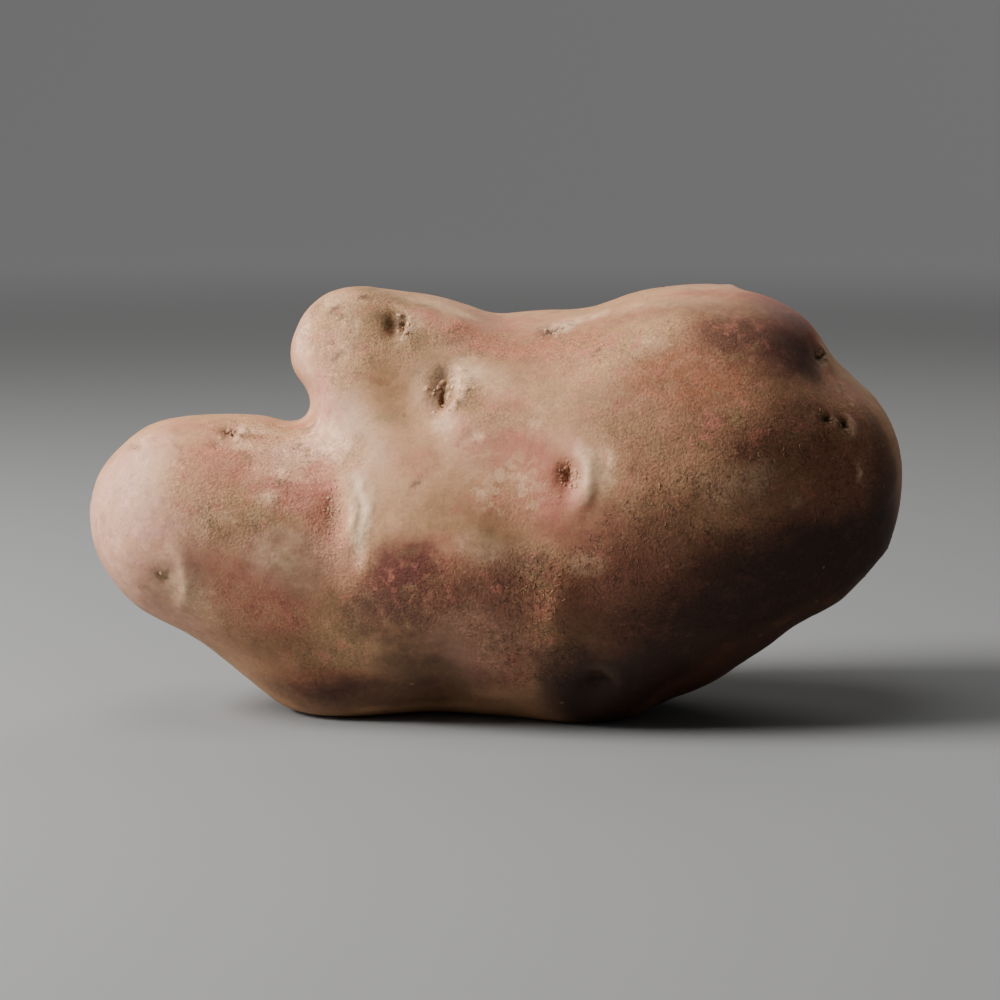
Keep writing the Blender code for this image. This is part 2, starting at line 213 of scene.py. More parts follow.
# The patches of each mark, a row for each. The marks are the tints and the ways the skin is broken up.
PATCHES = {
    "tan": (
        ((190, 520), (6.5, 6.5), 0.7), ((245, 505), (6.0, 6.0), 0.8), ((225, 555), (6.0, 3.0), 0.5),
        ((345, 350), (3.5, 4.5), 0.6), ((388, 390), (6.0, 5.5), 1.0), ((405, 350), (5.0, 4.5), 0.7),
        ((390, 435), (7.0, 4.0), 0.8, 20), ((420, 528), (9.0, 5.0), 0.8), ((460, 515), (7.0, 4.0), 0.9),
        ((520, 365), (7.0, 4.0), 0.5), ((555, 420), (8.0, 6.0), 0.6), ((620, 390), (11.0, 9.0), 0.8),
        ((620, 490), (6.0, 6.0), 1.0), ((690, 330), (12.0, 6.0), 0.9), ((700, 400), (13.0, 9.0), 1.0),
        ((570, 560), (8.0, 5.0), 1.0), ((360, 600), (8.0, 8.0), 0.9), ((290, 650), (8.0, 6.0), 0.9),
        ((150, 500), (5.0, 4.0), 0.35), ((480, 545), (4.0, 3.0), 0.4), ((540, 345), (10.0, 4.0), 0.55),
        ((452, 402), (5.0, 4.0), 0.8), ((650, 430), (8.0, 5.0), 0.6), ((340, 320), (5.0, 3.5), 0.5),
        ((372, 330), (4.5, 3.5), 0.6), ((352, 408), (5.0, 3.5), 0.6), ((590, 330), (6.0, 3.0), 0.3),
        ((580, 588), (5.0, 4.0), 0.5), ((545, 362), (12.0, 7.0), 0.5), ((420, 500), (8.0, 4.0), 0.5),
        ((355, 405), (5.0, 5.0), 0.5), ((400, 445), (7.0, 4.0), 0.5), ((620, 500), (7.0, 6.0), 0.5),
    ),
    # Pale pink skin, and painted rim light along the left edges of the thumb and the knob.
    "blossom_and_rim_light": (
        ((292, 490), (5.0, 3.0), 0.6), ((455, 640), (6.0, 5.0), 0.35), ((515, 560), (5.0, 3.0), 0.35),
        ((490, 640), (7.0, 8.0), 0.8), ((285, 560), (8.0, 4.5), 0.9), ((100, 505), (4.0, 9.0), 0.9),
        ((104, 545), (4.0, 6.0), 0.8), ((120, 462), (4.0, 4.0), 0.7), ((150, 436), (5.0, 3.0), 0.5),
        ((130, 590), (5.0, 4.0), 0.8), ((160, 612), (6.0, 3.0), 0.8), ((190, 628), (6.0, 2.6), 0.6),
        ((299, 352), (2.0, 5.0), 0.9), ((304, 322), (2.5, 3.6), 0.7), ((312, 402), (2.4, 3.0), 0.8),
        ((470, 345), (6.0, 2.4), 0.4, -12), ((115, 505), (5.0, 9.5), 1.0), ((145, 555), (9.0, 9.0), 1.0),
        ((140, 460), (5.0, 3.0), 0.4), ((318, 385), (3.0, 5.0), 0.8), ((330, 432), (5.0, 5.0), 0.9),
        ((300, 455), (6.0, 3.0), 0.7), ((495, 445), (7.0, 3.5), 0.4),
    ),
    "rose": (
        ((186, 424), (4.0, 1.8), 0.55, -5), ((205, 462), (4.5, 4.0), 0.6), ((238, 450), (3.0, 3.2), 0.45),
        ((262, 478), (4.5, 3.2), 0.6, -20), ((296, 491), (5.5, 3.0), 0.7, -8),
        ((225, 466), (4.5, 1.8), 0.5, -8), ((320, 378), (2.0, 2.6), 0.4),
        ((425, 312), (3.2, 1.6), 0.6, -10), ((455, 347), (3.4, 2.0), 0.2, -15),
        ((492, 326), (4.5, 2.0), 0.6), ((590, 345), (4.0, 2.0), 0.4), ((312, 470), (3.0, 2.4), 0.6),
        ((318, 500), (2.6, 3.8), 0.8), ((303, 425), (2.4, 1.2), 0.8, 15),
        ((220, 572), (6.0, 3.0), 0.35, -25), ((255, 600), (7.0, 4.5), 0.7, -25),
        ((300, 590), (5.0, 4.0), 0.5), ((340, 555), (3.5, 5.0), 0.55), ((330, 346), (2.6, 1.8), 0.35),
        ((448, 322), (5.5, 2.4), 0.6, -10), ((480, 340), (5.5, 2.8), 0.4, -14),
        ((525, 350), (6.0, 2.6), 0.55), ((500, 320), (7.0, 1.6), 0.6, -4), ((560, 365), (5.0, 2.6), 0.4),
        ((505, 402), (4.0, 2.0), 0.55, -8), ((455, 425), (2.4, 2.0), 0.3), ((486, 440), (4.6, 2.6), 0.55),
        ((520, 450), (4.6, 3.2), 0.85), ((548, 472), (3.0, 3.6), 0.7), ((558, 505), (3.6, 4.2), 0.9, -20),
        ((500, 500), (5.5, 3.0), 0.4), ((415, 460), (3.6, 3.0), 0.35), ((440, 555), (6.0, 2.6), 0.6),
        ((590, 530), (6.0, 3.2), 0.6), ((640, 470), (3.6, 3.6), 0.35), ((843, 388), (4.0, 3.0), 0.9),
        ((790, 322), (5.0, 2.4), 0.6, -40), ((650, 575), (7.0, 4.0), 0.5), ((560, 590), (5.0, 3.0), 0.4),
        ((640, 312), (5.0, 1.8), 0.55, 10), ((720, 292), (9.0, 2.2), 0.7, 2),
        ((778, 305), (5.0, 3.5), 0.8, -30), ((470, 600), (9.0, 5.0), 0.5), ((505, 650), (6.0, 7.0), 0.6),
        ((560, 600), (5.0, 5.0), 0.25), ((620, 560), (6.0, 4.0), 0.4),
    ),
    "rust": (
        ((540, 338), (12.0, 4.0), 0.25), ((340, 685), (9.0, 3.0), 0.4),
        ((778, 303), (7.0, 3.4), 1.0, -25), ((730, 294), (9.0, 2.2), 0.5),
        ((800, 330), (4.0, 4.0), 0.7, -45), ((843, 388), (4.0, 3.0), 0.5), ((690, 375), (9.0, 5.0), 0.35),
        ((560, 600), (6.0, 4.0), 0.12), ((545, 350), (10.0, 3.0), 0.2), ((850, 440), (6.0, 7.0), 0.4),
        ((620, 590), (7.0, 5.0), 0.4),
    ),
    # Dark red, mostly painted shade: below where the belly turns down, on the right half and in the hollow
    # at the top right.
    "maroon_and_shade": (
        ((400, 568), (5.0, 4.2), 0.95), ((374, 604), (4.6, 5.4), 0.45), ((385, 590), (4.5, 5.0), 0.35),
        ((432, 600), (7.5, 5.0), 0.4), ((462, 594), (6.5, 3.4), 0.3), ((440, 645), (7.0, 4.0), 0.35),
        ((528, 572), (7.0, 2.8), 0.3, -6), ((512, 600), (4.5, 3.5), 0.35), ((330, 680), (6.0, 3.0), 0.4),
        ((795, 345), (5.5, 6.0), 0.7), ((765, 342), (9.0, 8.0), 0.55), ((775, 306), (6.0, 2.6), 0.5, -25),
        ((720, 430), (6.0, 3.0), 0.25), ((855, 425), (4.0, 2.4), 0.35), ((755, 445), (5.0, 2.0), 0.35),
        ((610, 620), (5.0, 8.0), 0.4),
    ),
    # Olive skin, and painted shade above and left of the big eye's pit.
    "olive": (
        ((398, 297), (6.0, 2.0), 0.7, -10), ((372, 292), (3.5, 1.5), 0.5), ((312, 312), (2.5, 2.0), 0.4),
        ((428, 370), (4.5, 2.2), 0.7), ((440, 388), (1.8, 2.4), 0.8), ((434, 378), (2.2, 1.8), 0.5),
        ((225, 526), (3.5, 3.0), 0.45), ((255, 516), (2.5, 2.0), 0.35), ((352, 314), (4.6, 3.4), 0.40),
        ((345, 336), (5.0, 5.0), 0.22), ((418, 350), (5.0, 3.0), 0.35), ((340, 300), (4.0, 2.0), 0.25),
        ((376, 336), (3.6, 4.0), 0.40), ((352, 388), (3.0, 3.0), 0.25),
        ((446, 336), (3.2, 1.6), 0.35, -12), ((478, 316), (3.0, 1.2), 0.30, -6),
        ((300, 540), (2.0, 2.4), 0.25), ((440, 342), (5.0, 1.6), 0.35), ((360, 428), (5.0, 2.5), 0.5, 20),
        ((350, 610), (4.5, 7.0), 0.6, 10), ((335, 650), (5.5, 4.0), 0.6), ((375, 655), (7.0, 3.0), 0.5),
        ((402, 605), (2.5, 3.0), 0.4), ((640, 450), (3.0, 5.0), 0.35),
    ),
    "ochre": (
        ((332, 328), (4.0, 3.0), 0.32), ((705, 300), (9.0, 2.6), 0.75), ((350, 400), (5.0, 3.5), 0.2),
        ((545, 355), (9.0, 4.0), 0.18), ((540, 628), (3.6, 2.6), 0.35, -20),
        ((556, 642), (2.6, 1.8), 0.25), ((545, 605), (3.0, 2.4), 0.15), ((850, 404), (1.0, 0.9), 0.9),
        ((700, 360), (7.0, 4.0), 0.35),
    ),
    # Brown skin, and painted shade in the hollow at the top right, on the right half, low down and in the
    # big eye's pit.
    "brown": (
        ((742, 345), (8.0, 6.0), 0.9), ((690, 375), (10.0, 6.0), 0.6), ((690, 305), (12.0, 3.0), 0.5),
        ((770, 312), (6.0, 4.0), 0.6), ((330, 513), (1.1, 2.8), 0.6), ((650, 560), (8.0, 6.0), 0.7),
        ((760, 410), (8.0, 4.0), 0.5), ((705, 420), (17.0, 10.0), 0.5), ((700, 410), (10.0, 7.0), 0.5),
        ((745, 345), (9.0, 7.0), 0.7), ((790, 470), (8.0, 6.0), 0.6), ((700, 300), (12.0, 2.4), 0.4),
        ((545, 600), (7.0, 6.0), 0.5), ((620, 500), (8.0, 6.0), 0.25), ((530, 370), (6.0, 4.0), 0.25),
        ((800, 482), (9.0, 6.0), 0.6), ((550, 655), (6.0, 5.0), 0.35), ((398, 592), (7.0, 5.0), 0.5),
        ((540, 335), (8.0, 3.0), 0.3), ((450, 402), (3.2, 3.0), 0.3), ((352, 410), (3.6, 3.0), 0.2),
        ((420, 502), (5.0, 3.0), 0.2), ((275, 640), (8.0, 4.0), 0.4, -30),
        ((235, 636), (6.0, 3.0), 0.3, -35), ((300, 682), (9.0, 3.6), 0.5), ((240, 542), (5.0, 3.0), 0.25),
    ),
    # Painted shade, mostly: along the bottom, over the lower right, in the hollow at the top right and
    # beside the eye pits; some is dark brown skin.
    "umber_and_shade": (
        ((446, 374), (1.5, 1.0), 0.35), ((437, 381), (1.5, 1.8), 0.30), ((384, 316), (1.8, 1.4), 0.25),
        ((300, 696), (9.0, 3.0), 0.5), ((400, 694), (15.0, 3.8), 0.75), ((385, 620), (7.0, 5.0), 0.5),
        ((450, 668), (10.0, 3.6), 0.65), ((530, 708), (8.0, 2.4), 0.2), ((568, 672), (3.6, 4.6), 0.6),
        ((600, 702), (9.0, 8.0), 1.0), ((605, 690), (7.0, 5.0), 1.0), ((655, 675), (9.0, 6.0), 1.0),
        ((705, 630), (13.0, 7.0), 0.9), ((755, 590), (11.0, 7.0), 0.8), ((815, 575), (12.0, 9.0), 0.9),
        ((862, 552), (9.0, 9.0), 1.0), ((810, 560), (8.0, 5.0), 0.6), ((740, 560), (7.0, 4.0), 0.4),
        ((560, 668), (4.0, 4.0), 0.5), ((885, 470), (3.0, 8.0), 0.6), ((798, 348), (4.4, 4.4), 0.55),
        ((770, 345), (8.0, 7.0), 0.3),
    ),
    # Rough brown skin over the lower right, laid darker there as painted shade.
    "russet_and_shade": (
        ((690, 510), (8.0, 4.0), 0.25), ((640, 545), (9.0, 6.0), 0.4), ((800, 430), (7.0, 7.0), 0.45),
        ((775, 562), (14.0, 7.0), 0.85), ((680, 610), (14.0, 9.0), 0.95), ((862, 500), (9.0, 12.0), 0.8),
        ((840, 570), (14.0, 12.0), 1.0), ((730, 660), (20.0, 8.0), 1.0), ((600, 635), (6.0, 7.0), 0.5),
    ),
    # Pale skin and scabs, and painted highlights: on the brow beside the scar, along the left edges of the
    # thumb and knob, and on the band at the top right.
    "white_and_highlight": (
        ((357, 524), (1.4, 4.8), 1.0), ((361, 530), (1.0, 3.6), 0.6), ((468, 374), (2.4, 2.6), 0.75),
        ((497, 385), (3.4, 3.2), 0.35), ((335, 440), (3.0, 3.6), 0.6, 30), ((520, 478), (1.1, 0.9), 0.6),
        ((533, 474), (0.8, 0.8), 0.5), ((487, 494), (0.8, 1.1), 0.65), ((478, 434), (1.2, 0.8), 0.5),
        ((450, 424), (0.8, 0.9), 0.4), ((535, 425), (0.9, 0.9), 0.35), ((587, 318), (3.0, 1.6), 0.6, 15),
        ((440, 304), (6.0, 1.0), 0.5, -12), ((340, 353), (1.6, 1.4), 0.4), ((597, 472), (2.0, 3.6), 0.6),
        ((478, 549), (0.8, 0.6), 0.4), ((860, 470), (0.35, 1.5), 0.9, 4), ((345, 300), (3.0, 1.6), 0.25),
        ((798, 505), (1.0, 0.9), 0.25), ((165, 560), (1.8, 2.4), 0.3), ((294, 547), (1.5, 1.5), 0.9),
        ((288, 560), (6.0, 3.6), 0.55), ((291, 560), (2.4, 1.8), 0.8), ((118, 562), (3.0, 6.0), 0.3),
        ((185, 602), (6.0, 2.6), 0.4, -30), ((740, 482), (5.0, 3.0), 0.4), ((842, 388), (3.6, 2.6), 0.3),
        ((485, 640), (6.0, 5.0), 0.22), ((303, 348), (2.0, 5.0), 0.6), ((672, 300), (8.0, 2.0), 0.3),
        ((285, 474), (4.0, 1.4), 0.4, -10), ((262, 432), (3.5, 1.4), 0.55),
        ((240, 446), (3.0, 1.2), 0.45), ((267, 497), (1.8, 1.2), 0.60, 10),
        ((300, 461), (3.0, 1.4), 0.55, 20), ((300, 446), (3.4, 1.6), 0.35, 25),
        ((345, 325), (2.0, 3.0), 0.35), ((340, 296), (2.5, 1.5), 0.35), ((560, 322), (5.0, 1.4), 0.35),
        ((440, 420), (2.5, 1.6), 0.35), ((650, 345), (3.0, 2.0), 0.30),
        ((190, 592), (5.0, 2.6), 0.5, -30), ((278, 530), (1.6, 1.2), 0.5), ((305, 575), (2.6, 1.6), 0.35),
        ((190, 600), (3.4, 2.0), 0.3), ((586, 566), (2.4, 1.6), 0.4), ((480, 547), (3.6, 2.2), 0.6),
    ),
    "speck": (
        ((336, 307), (0.7, 0.5), 0.9), ((341, 316), (0.6, 0.7), 0.8), ((331, 312), (0.6, 0.45), 0.7),
        ((364, 297), (0.8, 0.6), 1.0), ((338, 355), (0.8, 0.6), 0.8), ((333, 359), (0.6, 0.45), 0.7),
        ((417, 481), (0.95, 0.50), 1.0, 25), ((552, 333), (0.80, 0.70), 0.9),
        ((235, 431), (0.60, 0.40), 0.7), ((139, 447), (0.60, 0.50), 0.6),
        ((404, 415), (0.2, 0.6), 0.4, 10), ((598, 350), (0.55, 0.45), 1.0),
        ((604, 346), (0.30, 0.30), 0.5), ((632, 469), (0.60, 0.75), 0.8),
        ((615, 325), (0.80, 0.40), 0.35), ((724, 326), (0.50, 0.60), 0.45),
        ((722, 421), (0.45, 0.45), 0.7), ((836, 521), (0.50, 0.40), 0.5),
        ((128, 534), (0.40, 0.35), 0.35), ((110, 500), (0.35, 0.25), 0.3),
        ((179, 531), (0.30, 0.40), 0.5), ((118, 560), (0.30, 0.30), 0.3),
        ((158, 575), (0.50, 0.60), 0.45), ((167, 572), (0.40, 0.45), 0.4),
        ((368, 492), (0.40, 0.35), 0.4), ((538, 562), (0.60, 0.50), 0.7), ((350, 575), (0.40, 0.50), 0.5),
        ((640, 517), (0.50, 0.40), 0.5), ((690, 396), (0.35, 0.35), 0.4),
        ((806, 372), (0.25, 1.3), 0.5, 15), ((813, 376), (0.22, 1.1), 0.4, -12),
        ((846, 430), (0.30, 0.90), 0.4), ((826, 436), (0.25, 0.90), 0.4, 20),
        ((858, 412), (0.60, 0.30), 0.5), ((795, 455), (0.60, 0.30), 0.5),
    ),
    "scabby": (
        ((512, 484), (5.5, 4.0), 1.0), ((470, 440), (5.0, 3.0), 0.5), ((560, 425), (6.0, 4.0), 0.35),
        ((600, 500), (5.0, 4.0), 0.3), ((300, 560), (6.0, 4.0), 0.4), ((230, 520), (6.0, 5.0), 0.35),
        ((680, 380), (10.0, 6.0), 0.2), ((330, 345), (4.0, 3.0), 0.4),
    ),
    "granular": (
        ((262, 432), (9.0, 4.0), 1.0), ((690, 340), (14.0, 6.0), 0.8), ((150, 500), (9.0, 9.0), 0.25),
        ((285, 455), (9.0, 4.0), 1.0), ((300, 490), (7.0, 4.0), 0.8), ((205, 475), (6.0, 6.0), 0.6),
        ((230, 520), (7.0, 6.0), 0.7), ((560, 400), (12.0, 7.0), 0.35), ((620, 350), (10.0, 5.0), 0.6),
        ((330, 515), (2.6, 6.0), 1.0), ((350, 560), (5.0, 6.0), 0.6), ((340, 460), (5.0, 4.0), 0.6),
        ((325, 315), (5.0, 4.0), 1.0), ((345, 355), (5.0, 5.0), 0.8), ((440, 330), (6.0, 4.0), 1.0),
        ((500, 345), (8.0, 4.0), 0.8), ((365, 300), (5.0, 2.6), 1.0), ((395, 340), (5.0, 4.5), 0.8),
        ((455, 395), (4.0, 4.0), 0.8), ((560, 345), (6.0, 3.6), 0.8), ((470, 345), (6.0, 3.0), 0.5),
        ((480, 425), (5.0, 3.0), 0.4), ((530, 490), (7.0, 4.0), 0.5), ((250, 610), (9.0, 5.0), 0.6),
        ((330, 640), (9.0, 6.0), 0.6), ((450, 600), (13.0, 6.0), 0.9), ((540, 580), (8.0, 6.0), 0.9),
        ((520, 650), (7.0, 8.0), 0.9), ((650, 450), (8.0, 10.0), 0.7), ((720, 420), (12.0, 9.0), 0.7),
        ((760, 500), (16.0, 12.0), 0.9), ((850, 450), (10.0, 12.0), 0.9), ((680, 600), (14.0, 10.0), 0.9),
        ((820, 580), (14.0, 12.0), 0.9),
    ),
    "flaky": (
        ((515, 588), (3.0, 2.4), 0.9), ((550, 582), (4.0, 3.4), 1.0), ((548, 612), (3.0, 5.0), 0.9),
        ((522, 635), (2.4, 4.0), 1.0), ((552, 660), (3.0, 6.0), 1.0), ((516, 668), (3.0, 4.0), 0.8),
        ((598, 560), (5.0, 4.0), 0.8), ((620, 590), (5.0, 4.0), 0.6), ((628, 530), (6.0, 4.0), 0.7),
        ((690, 500), (7.0, 5.0), 0.7), ((760, 460), (8.0, 6.0), 0.6), ((800, 430), (6.0, 5.0), 0.65),
        ((845, 470), (5.0, 7.0), 0.8), ((640, 620), (6.0, 6.0), 0.6), ((740, 560), (14.0, 8.0), 0.55),
        ((860, 520), (8.0, 9.0), 0.6), ((450, 595), (7.0, 3.5), 0.3), ((375, 640), (5.0, 4.0), 0.2),
    ),
}

# Lumps of pale crust in the front eyes: the place in the picture, and in millimetres the half width and half
# height, and how high it stands.
CRUSTS = (
    ((449, 387), (0.42, 0.42), 0.28), ((450, 396), (0.60, 0.85), 0.36), ((446, 405), (0.35, 0.30), 0.20),
    ((452, 409), (0.85, 0.30), 0.26), ((457, 402), (0.35, 0.75), 0.28), ((443, 383), (0.45, 0.38), 0.20),
    ((454, 381), (0.40, 0.50), 0.24), ((461, 381), (0.30, 0.80), 0.24), ((466, 388), (0.35, 0.60), 0.20),
    ((459, 392), (0.30, 0.70), 0.22), ((470, 378), (0.50, 0.35), 0.14), ((463, 371), (0.60, 0.35), 0.16),
    ((452, 374), (0.50, 0.30), 0.14), ((399, 331), (0.28, 0.26), 0.22), ((403, 327), (0.22, 0.30), 0.18),
    ((406, 333), (0.40, 0.50), 0.22), ((407, 322), (0.35, 0.60), 0.22), ((401, 340), (0.35, 0.30), 0.18),
    ((408, 313), (0.35, 0.45), 0.18), ((398, 346), (0.30, 0.24), 0.12), ((546, 331), (0.45, 0.50), 0.24),
    ((560, 329), (0.70, 0.55), 0.26), ((569, 325), (0.60, 0.45), 0.20), ((556, 337), (0.45, 0.40), 0.18),
    ((541, 338), (0.35, 0.30), 0.16), ((576, 474), (0.30, 0.80), 0.22), ((571, 486), (0.35, 0.50), 0.22),
    ((566, 468), (0.35, 0.35), 0.20), ((228, 431), (0.45, 0.40), 0.22), ((240, 436), (0.55, 0.40), 0.24),
    ((221, 438), (0.55, 0.40), 0.16), ((246, 430), (0.40, 0.35), 0.16), ((821, 353), (0.60, 0.45), 0.28),
    ((829, 356), (0.50, 0.35), 0.20), ((851, 404), (0.55, 0.45), 0.22),
)

# On the sides that the picture doesn't show: each mark's strength, and the width of its blotches in mm.
FAR_MARKS = {
    "tan": (0.7, 15.0),
    "blossom_and_rim_light": (0.7, 13.0),
    "rose": (1.0, 11.0),
    "rust": (0.35, 9.0),
    "maroon_and_shade": (0.3, 8.0),
    "olive": (0.5, 9.0),
    "ochre": (0.35, 7.0),
    "brown": (0.25, 11.0),
    "umber_and_shade": (0.05, 9.0),
    "russet_and_shade": (0.40, 17.0),
    "white_and_highlight": (0.45, 6.0),
    "speck": (0.0, 5.0),
    "scabby": (0.5, 9.0),
    "granular": (0.9, 10.0),
    "flaky": (0.7, 11.0),
}

# Skin colours.
CREAM = (0.52, 0.275, 0.140, 1.0)
TINTS = {  # laid over the cream in this order
    "tan": (0.40, 0.212, 0.100, 1.0),
    # Pale pink, also used as painted rim light.
    "blossom_and_rim_light": (0.58, 0.300, 0.212, 1.0),
    "rose": (0.47, 0.158, 0.102, 1.0),
    "olive": (0.25, 0.148, 0.066, 1.0),
    "ochre": (0.30, 0.145, 0.048, 1.0),
    # Brown, also used as painted shade.
    "brown": (0.25, 0.112, 0.056, 1.0),
    "rust": (0.34, 0.090, 0.035, 1.0),
    # Dark red, mostly used as painted shade.
    "maroon_and_shade": (0.115, 0.030, 0.019, 1.0),
    # Rough brown skin, darkened as painted shade.
    "russet_and_shade": (0.185, 0.070, 0.038, 1.0),
    # Dark brown, mostly used as painted shade.
    "umber_and_shade": (0.042, 0.0175, 0.0105, 1.0),
    # Pale, also used as painted highlight.
    "white_and_highlight": (0.76, 0.47, 0.28, 1.0),
}
SPECK_PALE = (0.68, 0.44, 0.27, 1.0)
SPECK_DARK = (0.12, 0.050, 0.027, 1.0)
# Near-black of the eye slits and pits: painted shade in the recess, with soil.
SOIL_AND_SHADE = (0.030, 0.014, 0.008, 1.0)
BUD_GREEN = (0.20, 0.19, 0.055, 1.0)
# Pale brow: paler skin, partly a painted highlight on the ridge.
BROW_PALE = (0.80, 0.54, 0.34, 1.0)
CRUST_PALE = (0.66, 0.41, 0.235, 1.0)
CRUST_DARK = (0.30, 0.145, 0.072, 1.0)
CORK = (0.60, 0.37, 0.20, 1.0)
CORK_SHADE = (0.24, 0.125, 0.065, 1.0)
FLAKE = (0.44, 0.225, 0.105, 1.0)
FLAKE_SHADE = (0.17, 0.078, 0.042, 1.0)


def camera_axes():
    """Where the camera is, and the directions ahead, across and up in its picture."""
    ahead = Vector((0.0, math.cos(CAMERA_ELEVATION), -math.sin(CAMERA_ELEVATION)))
    up = Vector((0.0, math.sin(CAMERA_ELEVATION), math.cos(CAMERA_ELEVATION)))
    return CAMERA_TARGET - CAMERA_DISTANCE * ahead, ahead, Vector((1.0, 0.0, 0.0)), up


def set_camera():
    """Puts the camera where the potato is seen as in the picture."""
    place, ahead, _, _ = camera_axes()
    camera = bpy.data.objects.new("camera", bpy.data.cameras.new("camera"))
    bpy.context.scene.collection.objects.link(camera)
    camera.data.lens = CAMERA_LENS
    camera.data.sensor_width = CAMERA_SENSOR
    camera.data.clip_start = 0.01
    camera.location = place
    camera.rotation_euler = ahead.to_track_quat("-Z", "Y").to_euler()
    bpy.context.scene.camera = camera


def link_mesh(name, points, faces):
    """A new object of these points and faces."""
    mesh = bpy.data.meshes.new(name)
    mesh.from_pydata(points, [], faces)
    made = bpy.data.objects.new(name, mesh)
    bpy.context.scene.collection.objects.link(made)
    return made


def make_floor():
    """A round floor that curves up all round, so that every view has the same plain backdrop."""
    sides = 96
    profile = [(FLOOR_RADIUS * share, 0.0) for share in (0.15, 0.4, 0.7, 1.0)]
    for step in range(1, 13):
        angle = math.radians(90.0 * step / 12)
        out = FLOOR_RADIUS + FLOOR_CURVE * math.sin(angle)
        profile.append((out, FLOOR_CURVE * (1.0 - math.cos(angle))))
    points = [(0.0, 0.0, 0.0)]
    for radius, height in profile:
        for side in range(sides):
            turn = 2.0 * math.pi * side / sides
            points.append((radius * math.cos(turn), radius * math.sin(turn), height))
    faces = [(0, 1 + side, 1 + (side + 1) % sides) for side in range(sides)]
    for ring in range(len(profile) - 1):
        inner = 1 + ring * sides
        outer = inner + sides
        for side in range(sides):
            after = (side + 1) % sides
            faces.append((inner + side, outer + side, outer + after, inner + after))
    floor = link_mesh("studio_floor", points, faces)
    floor.data.shade_smooth()
    floor.data.materials.append(pale_floor())


def make_light(name, place, width, power, colour):
    light = bpy.data.lights.new(name, "AREA")
    light.shape = "DISK"
    light.size = width
    light.energy = power
    light.color = colour
    lamp = bpy.data.objects.new(name, light)
    bpy.context.scene.collection.objects.link(lamp)
    lamp.location = place
    lamp.rotation_euler = (CAMERA_TARGET - Vector(place)).to_track_quat("-Z", "Y").to_euler()


def light_studio():
    """Four soft round lights, turned to the potato, and a little even light from all round."""
    for name, (place, width, power, colour) in LIGHTS.items():
        make_light(name, place, width, power, colour)
    air = bpy.data.worlds.new("studio_air")
    air.use_nodes = True
    background = air.node_tree.nodes["Background"]
    background.inputs["Color"].default_value = (1.0, 1.0, 1.0, 1.0)
    background.inputs["Strength"].default_value = AIR_STRENGTH
    bpy.context.scene.world = air


def put(tree, kind, fill=None, **settings):
    """Adds a node. Its inputs, by name or number, take the values or other nodes' outputs in fill."""
    made = tree.nodes.new(kind)
    for name, value in settings.items():
        setattr(made, name, value)
    for socket, value in (fill or {}).items():
        if isinstance(value, bpy.types.NodeSocket):
            tree.links.new(value, made.inputs[socket])
        else:
            made.inputs[socket].default_value = value
    return made


def calc(tree, operation, first, second=0.0, clamp=False):
    """One step of arithmetic on values."""
    fill = {0: first, 1: second}
    return put(tree, "ShaderNodeMath", fill, operation=operation, use_clamp=clamp).outputs[0]


def ramp(tree, value, low, high, to_low=0.0, to_high=1.0):
    """Maps a value smoothly from low..high to to_low..to_high."""
    fill = {0: value, 1: low, 2: high, 3: to_low, 4: to_high}
    return put(tree, "ShaderNodeMapRange", fill, interpolation_type="SMOOTHSTEP").outputs[0]


def blend(tree, share, first, second):
    """Mixes two colours."""
    fill = {0: share, 6: first, 7: second}
    return put(tree, "ShaderNodeMix", fill, data_type="RGBA").outputs[2]


def scaled(tree, colour, factor):
    """The colour made lighter or darker by a factor."""
    return put(tree, "ShaderNodeVectorMath", {0: colour, "Scale": factor}, operation="SCALE").outputs[0]


def noise(tree, where, size, detail=2.0, roughness=0.5, bend=0.0):
    """Noise whose lumps are about size millimetres wide."""
    fill = {"Vector": where, "Scale": 1.0 / size, "Detail": detail, "Roughness": roughness}
    return put(tree, "ShaderNodeTexNoise", {**fill, "Distortion": bend}).outputs[0]


def mark(tree, name):
    """What the skin's mark of this name says, from 0 to 1."""
    return put(tree, "ShaderNodeAttribute", attribute_name=name).outputs["Fac"]


def new_group(name, inputs, outputs):
    """A node group whose inputs and outputs are given as {name: socket type}."""
    tree = bpy.data.node_groups.new(name, "ShaderNodeTree")
    for socket, kind in inputs.items():
        tree.interface.new_socket(socket, in_out="INPUT", socket_type=kind)
    for socket, kind in outputs.items():
        tree.interface.new_socket(socket, in_out="OUTPUT", socket_type=kind)
    return tree, tree.nodes.new("NodeGroupInput").outputs, tree.nodes.new("NodeGroupOutput").inputs


def use_group(tree, group, fill):
    """Places a node group in a material with its own values."""
    made = tree.nodes.new("ShaderNodeGroup")
    made.node_tree = group
    for socket, value in fill.items():
        if isinstance(value, bpy.types.NodeSocket):
            tree.links.new(value, made.inputs[socket])
        else:
            made.inputs[socket].default_value = value
    return made.outputs


def millimetres(tree):
    """The place on the object, in millimetres."""
    where = put(tree, "ShaderNodeTexCoord").outputs["Object"]
    return put(tree, "ShaderNodeVectorMath", {0: where, "Scale": 1000.0}, operation="SCALE").outputs[0]


def grain_group():
    """Fine grains: Pale and Dark say where a grain is light or dark, and Height is its relief."""
    floats = "NodeSocketFloat"
    tree, given, out = new_group(
        "skin_grain",
        {"Place": "NodeSocketVector", "Size": floats},
        {"Pale": floats, "Dark": floats, "Height": floats},
    )
    scale = calc(tree, "DIVIDE", 1.0, given["Size"])
    fill = {"Vector": given["Place"], "Scale": scale, "Detail": 3.0, "Roughness": 0.6}
    grains = put(tree, "ShaderNodeTexNoise", fill).outputs[0]
    tree.links.new(ramp(tree, grains, 0.53, 0.68), out["Pale"])
    tree.links.new(ramp(tree, grains, 0.46, 0.32), out["Dark"])
    tree.links.new(ramp(tree, grains, 0.3, 0.7), out["Height"])
    return tree


